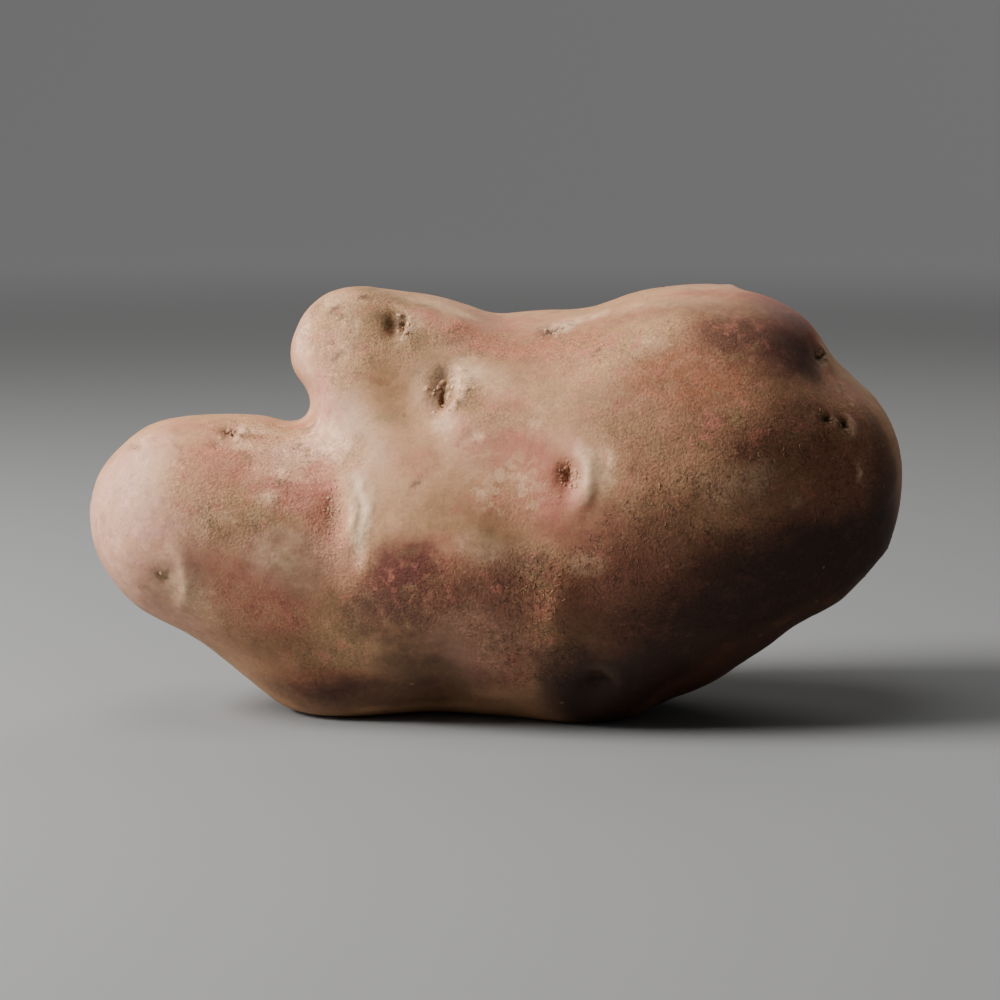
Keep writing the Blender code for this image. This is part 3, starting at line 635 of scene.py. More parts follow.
def crack_group():
    """Short broken cracks round small plates: Line is 1 in a crack, and Plate is a value for each plate."""
    floats = "NodeSocketFloat"
    tree, given, out = new_group(
        "skin_cracks",
        {"Place": "NodeSocketVector", "Plate Size": floats, "Broken": floats},
        {"Line": floats, "Plate": floats},
    )
    fill = {"Vector": given["Place"], "Scale": 1.1, "Detail": 3.0}
    bend = put(tree, "ShaderNodeTexNoise", fill).outputs["Color"]
    bend = put(tree, "ShaderNodeVectorMath", {0: bend, "Scale": 1.6}, operation="SCALE").outputs[0]
    bent = put(tree, "ShaderNodeVectorMath", {0: given["Place"], 1: bend}, operation="ADD").outputs[0]
    scale = calc(tree, "DIVIDE", 1.0, given["Plate Size"])
    fill = {"Vector": bent, "Scale": scale}
    edge = put(tree, "ShaderNodeTexVoronoi", fill, feature="DISTANCE_TO_EDGE").outputs["Distance"]
    cell = put(tree, "ShaderNodeTexVoronoi", fill).outputs["Color"]
    gaps = noise(tree, given["Place"], 1.7, 1.0)
    kept = ramp(tree, calc(tree, "SUBTRACT", gaps, given["Broken"]), -0.06, 0.06)
    line = calc(tree, "MULTIPLY", ramp(tree, edge, 0.075, 0.01), kept)
    tree.links.new(line, out["Line"])
    tree.links.new(put(tree, "ShaderNodeSeparateColor", {0: cell}).outputs[0], out["Plate"])
    return tree


def pore_group():
    """Sparse breathing pores: Hole is the dark middle and Ring the pale scab round it."""
    floats = "NodeSocketFloat"
    tree, given, out = new_group(
        "skin_pores",
        {"Place": "NodeSocketVector", "Spacing": floats, "Width": floats, "Share": floats},
        {"Hole": floats, "Ring": floats},
    )
    scale = calc(tree, "DIVIDE", 1.0, given["Spacing"])
    cells = put(tree, "ShaderNodeTexVoronoi", {"Vector": given["Place"], "Scale": scale, "Randomness": 0.9})
    away = calc(tree, "MULTIPLY", cells.outputs["Distance"], given["Spacing"])
    away = calc(tree, "DIVIDE", away, given["Width"])
    chance = put(tree, "ShaderNodeSeparateColor", {0: cells.outputs["Color"]}).outputs
    chosen = calc(tree, "LESS_THAN", chance[0], given["Share"])
    stretch = calc(tree, "ADD", away, calc(tree, "MULTIPLY", noise(tree, given["Place"], 0.4), 0.35))
    hole = ramp(tree, stretch, 0.55, 0.30)
    ring = ramp(tree, stretch, 1.25, 0.85)
    tree.links.new(calc(tree, "MULTIPLY", hole, chosen), out["Hole"])
    tree.links.new(calc(tree, "MULTIPLY", ring, chosen), out["Ring"])
    return tree


def new_material(name):
    material = bpy.data.materials.new(name)
    material.use_nodes = True
    return material, material.node_tree, material.node_tree.nodes["Principled BSDF"].inputs


def pale_floor():
    """A matte pale floor whose far wall glows a little, so that it isn't left dark."""
    material, tree, shader = new_material("pale_floor")
    where = put(tree, "ShaderNodeTexCoord").outputs["Object"]
    away = put(tree, "ShaderNodeVectorMath", {0: where}, operation="LENGTH").outputs["Value"]
    glow = ramp(tree, away, 0.3, FLOOR_RADIUS)
    shader["Base Color"].default_value = FLOOR_COLOUR
    shader["Roughness"].default_value = 0.85
    shader["Emission Strength"].default_value = WALL_GLOW
    tree.links.new(blend(tree, glow, (0.0, 0.0, 0.0, 1.0), (1.0, 1.0, 1.0, 1.0)), shader["Emission Color"])
    material.cycles.emission_sampling = "NONE"
    return material


def speckled(tree, amount, grains, strength):
    """Breaks the soft edge of a tint into grains."""
    soft = calc(tree, "MULTIPLY", amount, calc(tree, "SUBTRACT", 1.0, amount))
    shift = calc(tree, "MULTIPLY", calc(tree, "SUBTRACT", grains, 0.5), strength * 4.0)
    return calc(tree, "ADD", amount, calc(tree, "MULTIPLY", soft, shift), clamp=True)


def potato_skin(grain, cracks, pores):
    """Cream and pink skin with tan, rose and brown patches, fine grains, pores and cracked places; some
    patches are painted shade and painted highlights.
    """
    material, tree, shader = new_material("potato_skin")
    where = millimetres(tree)
    cloud = noise(tree, where, 7.0, 3.0)
    patchy = noise(tree, where, 3.4, 4.0, 0.6, 0.6)
    mottle = noise(tree, where, 1.5, 3.0, 0.55)
    fine = noise(tree, where, 0.55, 3.0, 0.65)
    grains = use_group(tree, grain, {"Place": where, "Size": 0.40})
    granular = mark(tree, "granular")
    flaky = mark(tree, "flaky")

    edge = calc(tree, "ADD", calc(tree, "MULTIPLY", mottle, 0.6), calc(tree, "MULTIPLY", fine, 0.4))
    broken = ramp(tree, patchy, 0.36, 0.62, 0.55, 1.1)
    colour = blend(tree, ramp(tree, cloud, 0.35, 0.7, 0.0, 0.5), CREAM, TINTS["tan"])
    for name, tint in TINTS.items():
        amount = mark(tree, name)
        if name in ("tan", "blossom_and_rim_light", "rose", "olive", "ochre", "white_and_highlight"):
            amount = calc(tree, "MULTIPLY", amount, broken)
        strength = 0.5 if name in ("umber_and_shade", "russet_and_shade") else 1.3
        colour = blend(tree, speckled(tree, amount, edge, strength), colour, tint)

    # Where the skin is painted dark as shade, the pink, olive and pale clouds and the pale scabs are held
    # back.
    shaded = calc(tree, "MAXIMUM", mark(tree, "umber_and_shade"), calc(tree, "MULTIPLY", mark(tree, "russet_and_shade"), 0.8))
    lit = calc(tree, "SUBTRACT", 1.0, shaded, True)
    lively = calc(tree, "MULTIPLY", ramp(tree, granular, 0.0, 1.0, 0.75, 1.65), calc(tree, "ADD", lit, 0.06))
    rose_cloud = ramp(tree, noise(tree, where, 2.6, 4.0, 0.65), 0.53, 0.70, 0.0, 0.40)
    colour = blend(tree, calc(tree, "MULTIPLY", rose_cloud, lively), colour, TINTS["rose"])
    tan_cloud = ramp(tree, patchy, 0.55, 0.70, 0.0, 0.42)
    colour = blend(tree, calc(tree, "MULTIPLY", tan_cloud, lively), colour, TINTS["olive"])
    smooth_here = ramp(tree, flaky, 0.6, 0.1)
    pale_cloud = calc(tree, "MULTIPLY", ramp(tree, mottle, 0.52, 0.70, 0.0, 0.26), smooth_here)
    pale_cloud = calc(tree, "MULTIPLY", pale_cloud, lively)
    colour = blend(tree, calc(tree, "MULTIPLY", pale_cloud, 1.4), colour, scaled(tree, colour, 1.4))
    scabs = use_group(tree, cracks, {"Place": where, "Plate Size": 1.5, "Broken": 1.0})["Plate"]
    scab_share = calc(tree, "MULTIPLY", ramp(tree, scabs, 0.62, 0.70, 0.0, 0.42), mark(tree, "scabby"))
    colour = blend(tree, calc(tree, "MULTIPLY", scab_share, lit), colour, TINTS["white_and_highlight"])

    plates = use_group(tree, cracks, {"Place": where, "Plate Size": 1.15, "Broken": 0.52})
    lines = calc(tree, "MULTIPLY", plates["Line"], ramp(tree, flaky, 0.05, 0.8))
    plate_shade = calc(tree, "MULTIPLY", ramp(tree, plates["Plate"], 0.35, 0.0), 0.16)
    colour = blend(tree, plate_shade, colour, SPECK_DARK)
    grain_strength = ramp(tree, calc(tree, "MULTIPLY", granular, broken), 0.0, 1.0, 0.24, 1.0)
    pale = calc(tree, "MULTIPLY", grains["Pale"], grain_strength)
    dark = calc(tree, "MULTIPLY", grains["Dark"], grain_strength)
    colour = blend(tree, dark, colour, scaled(tree, colour, 0.54))
    colour = blend(tree, pale, colour, scaled(tree, colour, 1.46))

    dots = use_group(tree, pores, {"Place": where, "Spacing": 4.6, "Width": 0.34, "Share": 0.40})
    colour = blend(tree, calc(tree, "MULTIPLY", dots["Ring"], 0.22), colour, SPECK_PALE)
    colour = blend(tree, calc(tree, "MULTIPLY", dots["Hole"], 0.75), colour, SPECK_DARK)
    colour = blend(tree, calc(tree, "MULTIPLY", lines, 0.7), colour, scaled(tree, colour, 0.3))
    speck = speckled(tree, mark(tree, "speck"), fine, 1.5)
    colour = blend(tree, calc(tree, "MULTIPLY", speck, 0.85), colour, SPECK_DARK)

    colour = blend(tree, calc(tree, "MULTIPLY", mark(tree, "blush"), 0.6), colour, TINTS["rose"])
    # Pale brows: paler skin, partly a painted highlight on their ridges.
    rim = speckled(tree, mark(tree, "rim"), fine, 1.2)
    colour = blend(tree, calc(tree, "MULTIPLY", rim, 0.85), colour, BROW_PALE)
    colour = blend(tree, calc(tree, "MULTIPLY", mark(tree, "green"), 0.6), colour, BUD_GREEN)
    # Painted shade in the eyes: the left side of each pit darkened, then the slit and pit near-black, with
    # soil.
    shade = calc(tree, "MULTIPLY", speckled(tree, mark(tree, "shade"), fine, 1.2), 0.8)
    colour = blend(tree, shade, colour, scaled(tree, colour, 0.34))
    soil_and_shade = speckled(tree, mark(tree, "soil_and_shade"), fine, 1.6)
    colour = blend(tree, soil_and_shade, colour, SOIL_AND_SHADE)
    crusted = blend(tree, ramp(tree, fine, 0.38, 0.6), CRUST_DARK, CRUST_PALE)
    colour = blend(tree, ramp(tree, mark(tree, "crust"), 0.12, 0.75, 0.0, 0.85), colour, crusted)
    tree.links.new(colour, shader["Base Color"])

    rough = calc(tree, "ADD", ramp(tree, granular, 0.0, 1.0, 0.50, 0.66), calc(tree, "MULTIPLY", fine, 0.12))
    tree.links.new(rough, shader["Roughness"])
    shader["Specular IOR Level"].default_value = 0.34

    relief = calc(tree, "MULTIPLY", grains["Height"], ramp(tree, granular, 0.0, 1.0, 0.006, 0.042))
    relief = calc(tree, "ADD", relief, calc(tree, "MULTIPLY", fine, 0.018))
    relief = calc(tree, "ADD", relief, calc(tree, "MULTIPLY", mottle, 0.030))
    relief = calc(tree, "SUBTRACT", relief, calc(tree, "MULTIPLY", lines, 0.035))
    lift = calc(tree, "MULTIPLY", plates["Plate"], ramp(tree, flaky, 0.1, 1.0))
    lift = calc(tree, "MULTIPLY", lift, 0.045)
    relief = calc(tree, "ADD", relief, lift)
    relief = calc(tree, "ADD", relief, calc(tree, "MULTIPLY", dots["Ring"], 0.02))
    relief = calc(tree, "SUBTRACT", relief, calc(tree, "MULTIPLY", dots["Hole"], 0.08))
    bump = put(tree, "ShaderNodeBump", {"Strength": 1.0, "Distance": MM, "Height": relief})
    tree.links.new(bump.outputs[0], shader["Normal"])
    return material


def loose_cork(name, base, shade, grain):
    """The dry cork of crumbs and flakes: pale on top of its grains and brown between them, and darker where
    the skin beneath carries painted shade.
    """
    material, tree, shader = new_material(name)
    where = millimetres(tree)
    grains = use_group(tree, grain, {"Place": where, "Size": 0.25})
    clouds = noise(tree, where, 1.3, 2.0)
    colour = blend(tree, ramp(tree, clouds, 0.35, 0.65, 0.0, 0.8), base, shade)
    # Painted shade: crumbs and flakes take the dark rough-brown colour where the skin beneath them is
    # painted dark.
    russet_shade_share = calc(tree, "MULTIPLY", mark(tree, "russet_and_shade"), 0.6)
    painted_shade = calc(tree, "ADD", mark(tree, "umber_and_shade"), russet_shade_share, clamp=True)
    colour = blend(tree, calc(tree, "MULTIPLY", painted_shade, 0.8), colour, TINTS["russet_and_shade"])
    colour = blend(tree, calc(tree, "MULTIPLY", grains["Pale"], 0.35), colour, SPECK_PALE)
    colour = blend(tree, calc(tree, "MULTIPLY", grains["Dark"], 0.5), colour, SPECK_DARK)
    tree.links.new(colour, shader["Base Color"])
    tree.links.new(ramp(tree, clouds, 0.3, 0.7, 0.7, 0.85), shader["Roughness"])
    bump = put(tree, "ShaderNodeBump", {"Strength": 1.0, "Distance": 0.03 * MM, "Height": grains["Height"]})
    tree.links.new(bump.outputs[0], shader["Normal"])
    return material


def read_points(mesh):
    points = np.empty(len(mesh.vertices) * 3)
    mesh.vertices.foreach_get("co", points)
    return points.reshape(-1, 3)


def write_points(mesh, points):
    mesh.vertices.foreach_set("co", points.astype(np.float32).ravel())
    mesh.update()


def keep_above_floor(mesh):
    """Lifts what would dip below the floor up to it."""
    points = read_points(mesh)
    points[:, 2] = np.maximum(points[:, 2], 0.0)
    write_points(mesh, points)


def read_outward(mesh):
    """The outward direction at each point."""
    outward = np.empty(len(mesh.vertices) * 3)
    mesh.vertices.foreach_get("normal", outward)
    return outward.reshape(-1, 3)


def write_mark(mesh, name, values):
    """Keeps a value from 0 to 1 at each point, for the materials and scatters to read."""
    made = mesh.attributes.new(name, "FLOAT", "POINT")
    made.data.foreach_set("value", np.clip(values, 0.0, 1.0).astype(np.float32))


def apply_modifiers(piece):
    """Gives the piece the mesh that its modifiers make, and takes them off."""
    graph = bpy.context.evaluated_depsgraph_get()
    finished = bpy.data.meshes.new_from_object(piece.evaluated_get(graph))
    piece.modifiers.clear()
    piece.data = finished


def smooth_out(mesh, rounds):
    """Evens out the small steps of the remesh without shrinking the form."""
    points = read_points(mesh)
    edges = np.empty(len(mesh.edges) * 2, dtype=np.int32)
    mesh.edges.foreach_get("vertices", edges)
    edges = edges.reshape(-1, 2)
    first = np.concatenate([edges[:, 0], edges[:, 1]])
    second = np.concatenate([edges[:, 1], edges[:, 0]])
    count = np.bincount(first, minlength=len(points))
    for turn in range(2 * rounds):
        weight = 0.5 if turn % 2 == 0 else -0.52
        total = [np.bincount(first, points[second, axis], len(points)) for axis in range(3)]
        points = points + weight * (np.stack(total, axis=1) / count[:, None] - points)
    write_points(mesh, points)


def slow_noise(points, size, seed):
    """A smooth random value from about -1 to 1 at each point, with lumps about size millimetres wide."""
    chance = np.random.default_rng(seed)
    total = np.zeros(len(points))
    for octave in range(3):
        ways = chance.normal(size=(14, 3))
        ways /= np.linalg.norm(ways, axis=1)[:, None]
        starts = chance.uniform(0.0, 2.0 * math.pi, 14)
        waves = np.sin(points @ ways.T * (2.0 * math.pi * 2.0**octave / (2.2 * size)) + starts)
        total += waves.sum(axis=1) * 0.5**octave / 5.3
    return total


def skin_surface(mesh):
    """The mesh as a surface that rays can be cast at."""
    return BVHTree.FromPolygons([v.co for v in mesh.vertices], [p.vertices[:] for p in mesh.polygons])


def even_copy(mesh, voxel):
    """A rounded copy of the mesh with even faces that are voxel millimetres wide."""
    piece = bpy.data.objects.new("skin", mesh.copy())
    bpy.context.scene.collection.objects.link(piece)
    rounder = piece.modifiers.new("rounder", "SUBSURF")
    rounder.levels = 1
    rounder.render_levels = 1
    remesh = piece.modifiers.new("even", "REMESH")
    remesh.mode = "VOXEL"
    remesh.voxel_size = voxel * MM
    apply_modifiers(piece)
    return piece


def split_faces(mesh, spots):
    """Splits each face into four where its middle is inside one of the spots, given as (centre, radius)."""
    fine = bmesh.new()
    fine.from_mesh(mesh)
    middles = np.array([face.calc_center_median()[:] for face in fine.faces]) / MM
    close = np.zeros(len(middles), dtype=bool)
    for centre, radius in spots:
        close |= np.linalg.norm(middles - centre, axis=1) < radius
    edges = {edge for face, inside in zip(fine.faces, close) if inside for edge in face.edges}
    bmesh.ops.subdivide_edges(fine, edges=list(edges), cuts=1, use_grid_fill=True)
    fine.to_mesh(mesh)
    fine.free()


def fine_skin():
    """The potato's own form as one fine mesh, finest at the eyes."""
    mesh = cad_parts["potato"].data.copy()
    merged = bmesh.new()
    merged.from_mesh(mesh)
    bmesh.ops.remove_doubles(merged, verts=merged.verts, dist=0.001 * MM)
    merged.to_mesh(mesh)
    merged.free()
    mesh.materials.clear()
    form = even_copy(mesh, FORM_VOXEL)
    smooth_out(form.data, SMOOTH_ROUNDS)
    surface = skin_surface(form.data)
    bpy.data.objects.remove(form)
    skin = even_copy(mesh, SKIN_VOXEL)
    smooth_out(skin.data, 4)
    rings = [[], [], []]
    for eye in EYES.values():
        centre = place_on_side(surface, eye.side, eye.place)[0]
        whole = max(eye.brow[2], eye.brow[0] + eye.brow[1])
        rings[0].append((centre, 1.15 * whole + 1.0))
        rings[1].append((centre, 0.9 * whole))
        rings[2].append((centre, 1.3 * max(eye.pit)))
    for spots in rings:
        split_faces(skin.data, spots)
    points = [surface.find_nearest(vert.co)[0][:] for vert in skin.data.vertices]
    write_points(skin.data, np.array(points))
    smooth_out(skin.data, 3)
    return skin


def flat_axes(centre, outward, across, up):
    """The middle of a mark in millimetres, with the directions outward, across and up its skin."""
    across = (across - across.dot(outward) * outward).normalized()
    up = (up - up.dot(outward) * outward - up.dot(across) * across).normalized()
    return np.array(centre) / MM, np.array(outward), np.array(across), np.array(up)


def place_on_side(surface, side, place):
    """What flat_axes gives for the skin seen there from this side."""
    look, across, up = (Vector(direction) for direction in SIDES[side])
    start = (place[0] * across + place[1] * up) * MM - look
    centre, outward, _, _ = surface.ray_cast(start, look)
    return flat_axes(centre, outward, across, up)


def place_in_picture(surface, place):
    """What flat_axes gives for the skin seen at this place in the picture."""
    start, ahead, across, up = camera_axes()
    reach = CAMERA_SENSOR / CAMERA_LENS / PICTURE_SIZE
    middle = 0.5 * PICTURE_SIZE
    way = ahead + (place[0] - middle) * reach * across + (middle - place[1]) * reach * up
    centre, outward, _, _ = surface.ray_cast(start, way.normalized())
    return flat_axes(centre, outward, across, up)


def spread(across, width, up, height):
    """1 in the middle, falling away softly over this width and height."""
    return np.exp(-((across / width) ** 2) - (up / height) ** 2)


def lump_height(across, up, size, high):
    """The height of one rounded lump of crust, whose half width and half height are size."""
    away = np.sqrt((across / size[0]) ** 2 + (up / size[1]) ** 2)
    return high * np.clip(1.0 - away**2.6, 0.0, 1.0)


def finish_eyes(skin):
    """Shapes each eye's slit and crust, and marks its dark pit (soil and painted shade), the painted shade
    on the pit's left side, its pale brow (partly a painted highlight), blush, green and crumbs.
    """
    surface = skin_surface(skin.data)
    points = read_points(skin.data) / MM
    outward_here = read_outward(skin.data)
    marks = {name: np.zeros(len(points)) for name in ("soil_and_shade", "shade", "rim", "blush", "green", "crumbs")}
    ragged = np.stack([slow_noise(points, 1.5, seed) for seed in (11, 12, 13)], axis=1) * 0.30
    crumbly = np.stack([slow_noise(points, 0.5, seed) for seed in (14, 15, 16)], axis=1) * 0.10
    crust = np.zeros(len(points))
    chance = np.random.default_rng(17)
    for eye in EYES.values():
        centre, outward, across_way, up_way = place_on_side(surface, eye.side, eye.place)
        turn = math.radians(eye.turn)
        local = points - centre
        near = np.exp(-((local @ outward / EYE_REACH) ** 4))
        brow_way = math.cos(turn) * across_way + math.sin(turn) * up_way
        along_way = math.cos(turn) * up_way - math.sin(turn) * across_way
        across = (local + ragged) @ brow_way
        up = (local + ragged) @ along_way
        depth, slit_width, slit_height = eye.slit
        pit_width, pit_height = eye.pit
        distance, brow_width, brow_length = eye.brow
        lean = 0.25 * pit_width
        slit = near * spread(across - lean, slit_width, up, slit_height)
        pit = near * spread(across, pit_width, up, pit_height)
        wide = near * spread(across - lean, 1.5 * pit_width, up, 1.4 * pit_height)
        crest = distance * (1.0 - 0.4 * (up / brow_length) ** 2)
        brow = near * np.exp(-(((across - crest) / brow_width) ** 2) - (up / brow_length) ** 4)
        beside = near * spread(across + pit_width, 3.2 * pit_width, up, 2.6 * pit_height)
        left = near * spread(across + 0.5 * pit_width, 1.2 * pit_width, up, 1.2 * pit_height)
        close = near * (np.linalg.norm(local, axis=1) < 8.0) > 0.5
        rough = local[close] + crumbly[close]
        rough_across = rough @ brow_way
        rough_up = rough @ along_way
        crowd = eye.crumbs * pit_width * pit_height / sum(eye.lumps) ** 2
        for _ in range(int(crowd * LUMP_CROWD)):
            aside = lean + 0.75 * pit_width * chance.normal()
            above = 0.75 * pit_height * chance.normal()
            size = chance.uniform(*eye.lumps, 2)
            high = chance.uniform(0.35, 0.85) * min(size)
            lump = lump_height(rough_across - aside, rough_up - above, size, high)
            crust[close] = np.maximum(crust[close], lump)
        points = points + (BROW_SWELL * eye.rim**3 * brow - depth * slit)[:, None] * outward
        # Painted shade: the slit and pit darkened, with soil, and the pit's left side, which its wall shades
        # from the light above left.
        marks["soil_and_shade"] = np.maximum(marks["soil_and_shade"], eye.soil_and_shade * np.maximum(slit, 0.35 * pit))
        marks["shade"] = np.maximum(marks["shade"], eye.soil_and_shade * left)
        # Pale brow, partly a painted highlight on its ridge.
        marks["rim"] = np.maximum(marks["rim"], eye.rim * brow)
        marks["blush"] = np.maximum(marks["blush"], eye.blush * beside)
        marks["green"] = np.maximum(marks["green"], eye.green * pit)
        marks["crumbs"] = np.maximum(marks["crumbs"], eye.crumbs * wide)
    for place, size, high in CRUSTS:
        centre, outward, across_way, up_way = place_in_picture(surface, place)
        rough = points + crumbly - centre
        lump = lump_height(rough @ across_way, rough @ up_way, size, high)
        crust = np.maximum(crust, lump * (np.abs(rough @ outward) < 3.0))
    marks["crust"] = crust / FULL_CRUST
    points = points + crust[:, None] * outward_here
    write_points(skin.data, points * MM)
    for name, values in marks.items():
        write_mark(skin.data, name, values)


def tint_skin(skin):
    """Marks where each tint, the grains and the flaking show: patch by patch in front, freely elsewhere. The
    skin that faces down is also darkened as painted shade.
    """
    surface = skin_surface(skin.data)
    points = read_points(skin.data) / MM
    outward_here = read_outward(skin.data)
    start, _, _, _ = camera_axes()
    to_camera = np.array(start) / MM - points
    to_camera /= np.linalg.norm(to_camera, axis=1)[:, None]
    facing = np.clip(((outward_here * to_camera).sum(axis=1) + 0.22) / 0.3, 0.0, 1.0)
    far_side = 1.0 - facing * facing * (3.0 - 2.0 * facing)
    ragged = sum(
        np.stack([slow_noise(points, size, seed + int(size)) for seed in (21, 22, 23)], axis=1) * 0.13 * size
        for size in (9.0, 3.0)
    )
    marks = {}
    for number, (name, patches) in enumerate(PATCHES.items()):
        values = np.zeros(len(points))
        for row in patches:
            patch = Patch(*row)
            centre, outward, across_way, up_way = place_in_picture(surface, patch.place)
            turn = math.radians(patch.turn)
            local = points - centre
            flat = local + ragged * min(1.0, 0.3 * min(patch.size))
            across = flat @ (math.cos(turn) * across_way + math.sin(turn) * up_way) / patch.size[0]
            up = flat @ (math.cos(turn) * up_way - math.sin(turn) * across_way) / patch.size[1]
            reach = 5.0 + 0.8 * max(patch.size)
            near = np.exp(-((local @ outward / reach) ** 4))
            here = np.clip((1.45 - np.sqrt(across**2 + up**2)) / 0.95, 0.0, 1.0)
            here = here * here * (3.0 - 2.0 * here) * near * patch.strength
            values = 1.0 - (1.0 - values) * (1.0 - here)
        strength, size = FAR_MARKS[name]
        blotch = np.clip(0.5 + 0.9 * slow_noise(points, size, 40 + number), 0.0, 1.0)
        marks[name] = np.maximum(values * (1.0 - 0.6 * far_side), far_side * strength * blotch)
    # Painted shade: the skin that faces down is darkened, more so towards the right end.
    underside_shade = np.clip(-outward_here[:, 2] / 0.8 - 0.1, 0.0, 1.0)
    underside_shade *= np.clip(0.55 + points[:, 0] / 60.0, 0.15, 1.0)
    marks["umber_and_shade"] = np.maximum(marks["umber_and_shade"], 0.75 * underside_shade)
    marks["flakes"] = marks["flaky"] * (1.0 - 0.95 * marks["umber_and_shade"]) * (1.0 - 0.45 * marks["russet_and_shade"])
    for name, values in marks.items():
        write_mark(skin.data, name, values)


def geometry_group(name, inputs):
    """A geometry tree with a Geometry input and output and further named inputs, {name: (type, value)}."""
    tree = bpy.data.node_groups.new(name, "GeometryNodeTree")
    tree.interface.new_socket("Geometry", in_out="INPUT", socket_type="NodeSocketGeometry")
    for socket, (kind, value) in inputs.items():
        made = tree.interface.new_socket(socket, in_out="INPUT", socket_type=kind)
        if value is not None:
            made.default_value = value
    tree.interface.new_socket("Geometry", in_out="OUTPUT", socket_type="NodeSocketGeometry")
    return tree, tree.nodes.new("NodeGroupInput").outputs, tree.nodes.new("NodeGroupOutput").inputs


def set_inputs(modifier, values):
    """Sets a modifier's inputs through the identifiers of the sockets with these names."""
    for item in modifier.node_group.interface.items_tree:
        if item.item_type == "SOCKET" and item.in_out == "INPUT" and item.name in values:
            modifier[item.identifier] = values[item.name]


def relief_tree():
    """Slow swells, dimples and, where the skin is rough, small lumps along the outward direction."""
    floats = "NodeSocketFloat"
    inputs = {
        "Swell Size": (floats, 7.0),
        "Swell Height": (floats, 0.20),
        "Dimple Size": (floats, 2.4),
        "Dimple Height": (floats, 0.07),
        "Lump Size": (floats, 1.3),
        "Lump Height": (floats, 0.09),
    }
    tree, given, out = geometry_group("skin_relief", inputs)
    where = put(tree, "GeometryNodeInputPosition").outputs[0]
    where = put(tree, "ShaderNodeVectorMath", {0: where, "Scale": 1000.0}, operation="SCALE").outputs[0]
    rough = put(tree, "GeometryNodeInputNamedAttribute", {"Name": "flaky"}, data_type="FLOAT").outputs[0]
    total = None
    for kind in ("Swell", "Dimple", "Lump"):
        scale = calc(tree, "DIVIDE", 1.0, given[kind + " Size"])
        fill = {"Vector": where, "Scale": scale, "Detail": 1.0, "Roughness": 0.4}
        lumps = calc(tree, "SUBTRACT", put(tree, "ShaderNodeTexNoise", fill).outputs[0], 0.5)
        height = calc(tree, "MULTIPLY", lumps, calc(tree, "MULTIPLY", given[kind + " Height"], 2.0))
        if kind == "Lump":
            height = calc(tree, "MULTIPLY", height, calc(tree, "ADD", rough, 0.25))
        total = height if total is None else calc(tree, "ADD", total, height)
    height_above = put(tree, "ShaderNodeSeparateXYZ", {0: where}).outputs[2]
    total = calc(tree, "MULTIPLY", total, ramp(tree, height_above, 0.05, 1.2))
    outward = put(tree, "GeometryNodeInputNormal").outputs[0]
    metres = calc(tree, "MULTIPLY", total, MM)
    offset = put(tree, "ShaderNodeVectorMath", {0: outward, "Scale": metres}, operation="SCALE").outputs[0]
    moved = put(tree, "GeometryNodeSetPosition", {"Geometry": given["Geometry"], "Offset": offset})
    tree.links.new(moved.outputs[0], out["Geometry"])
    return tree


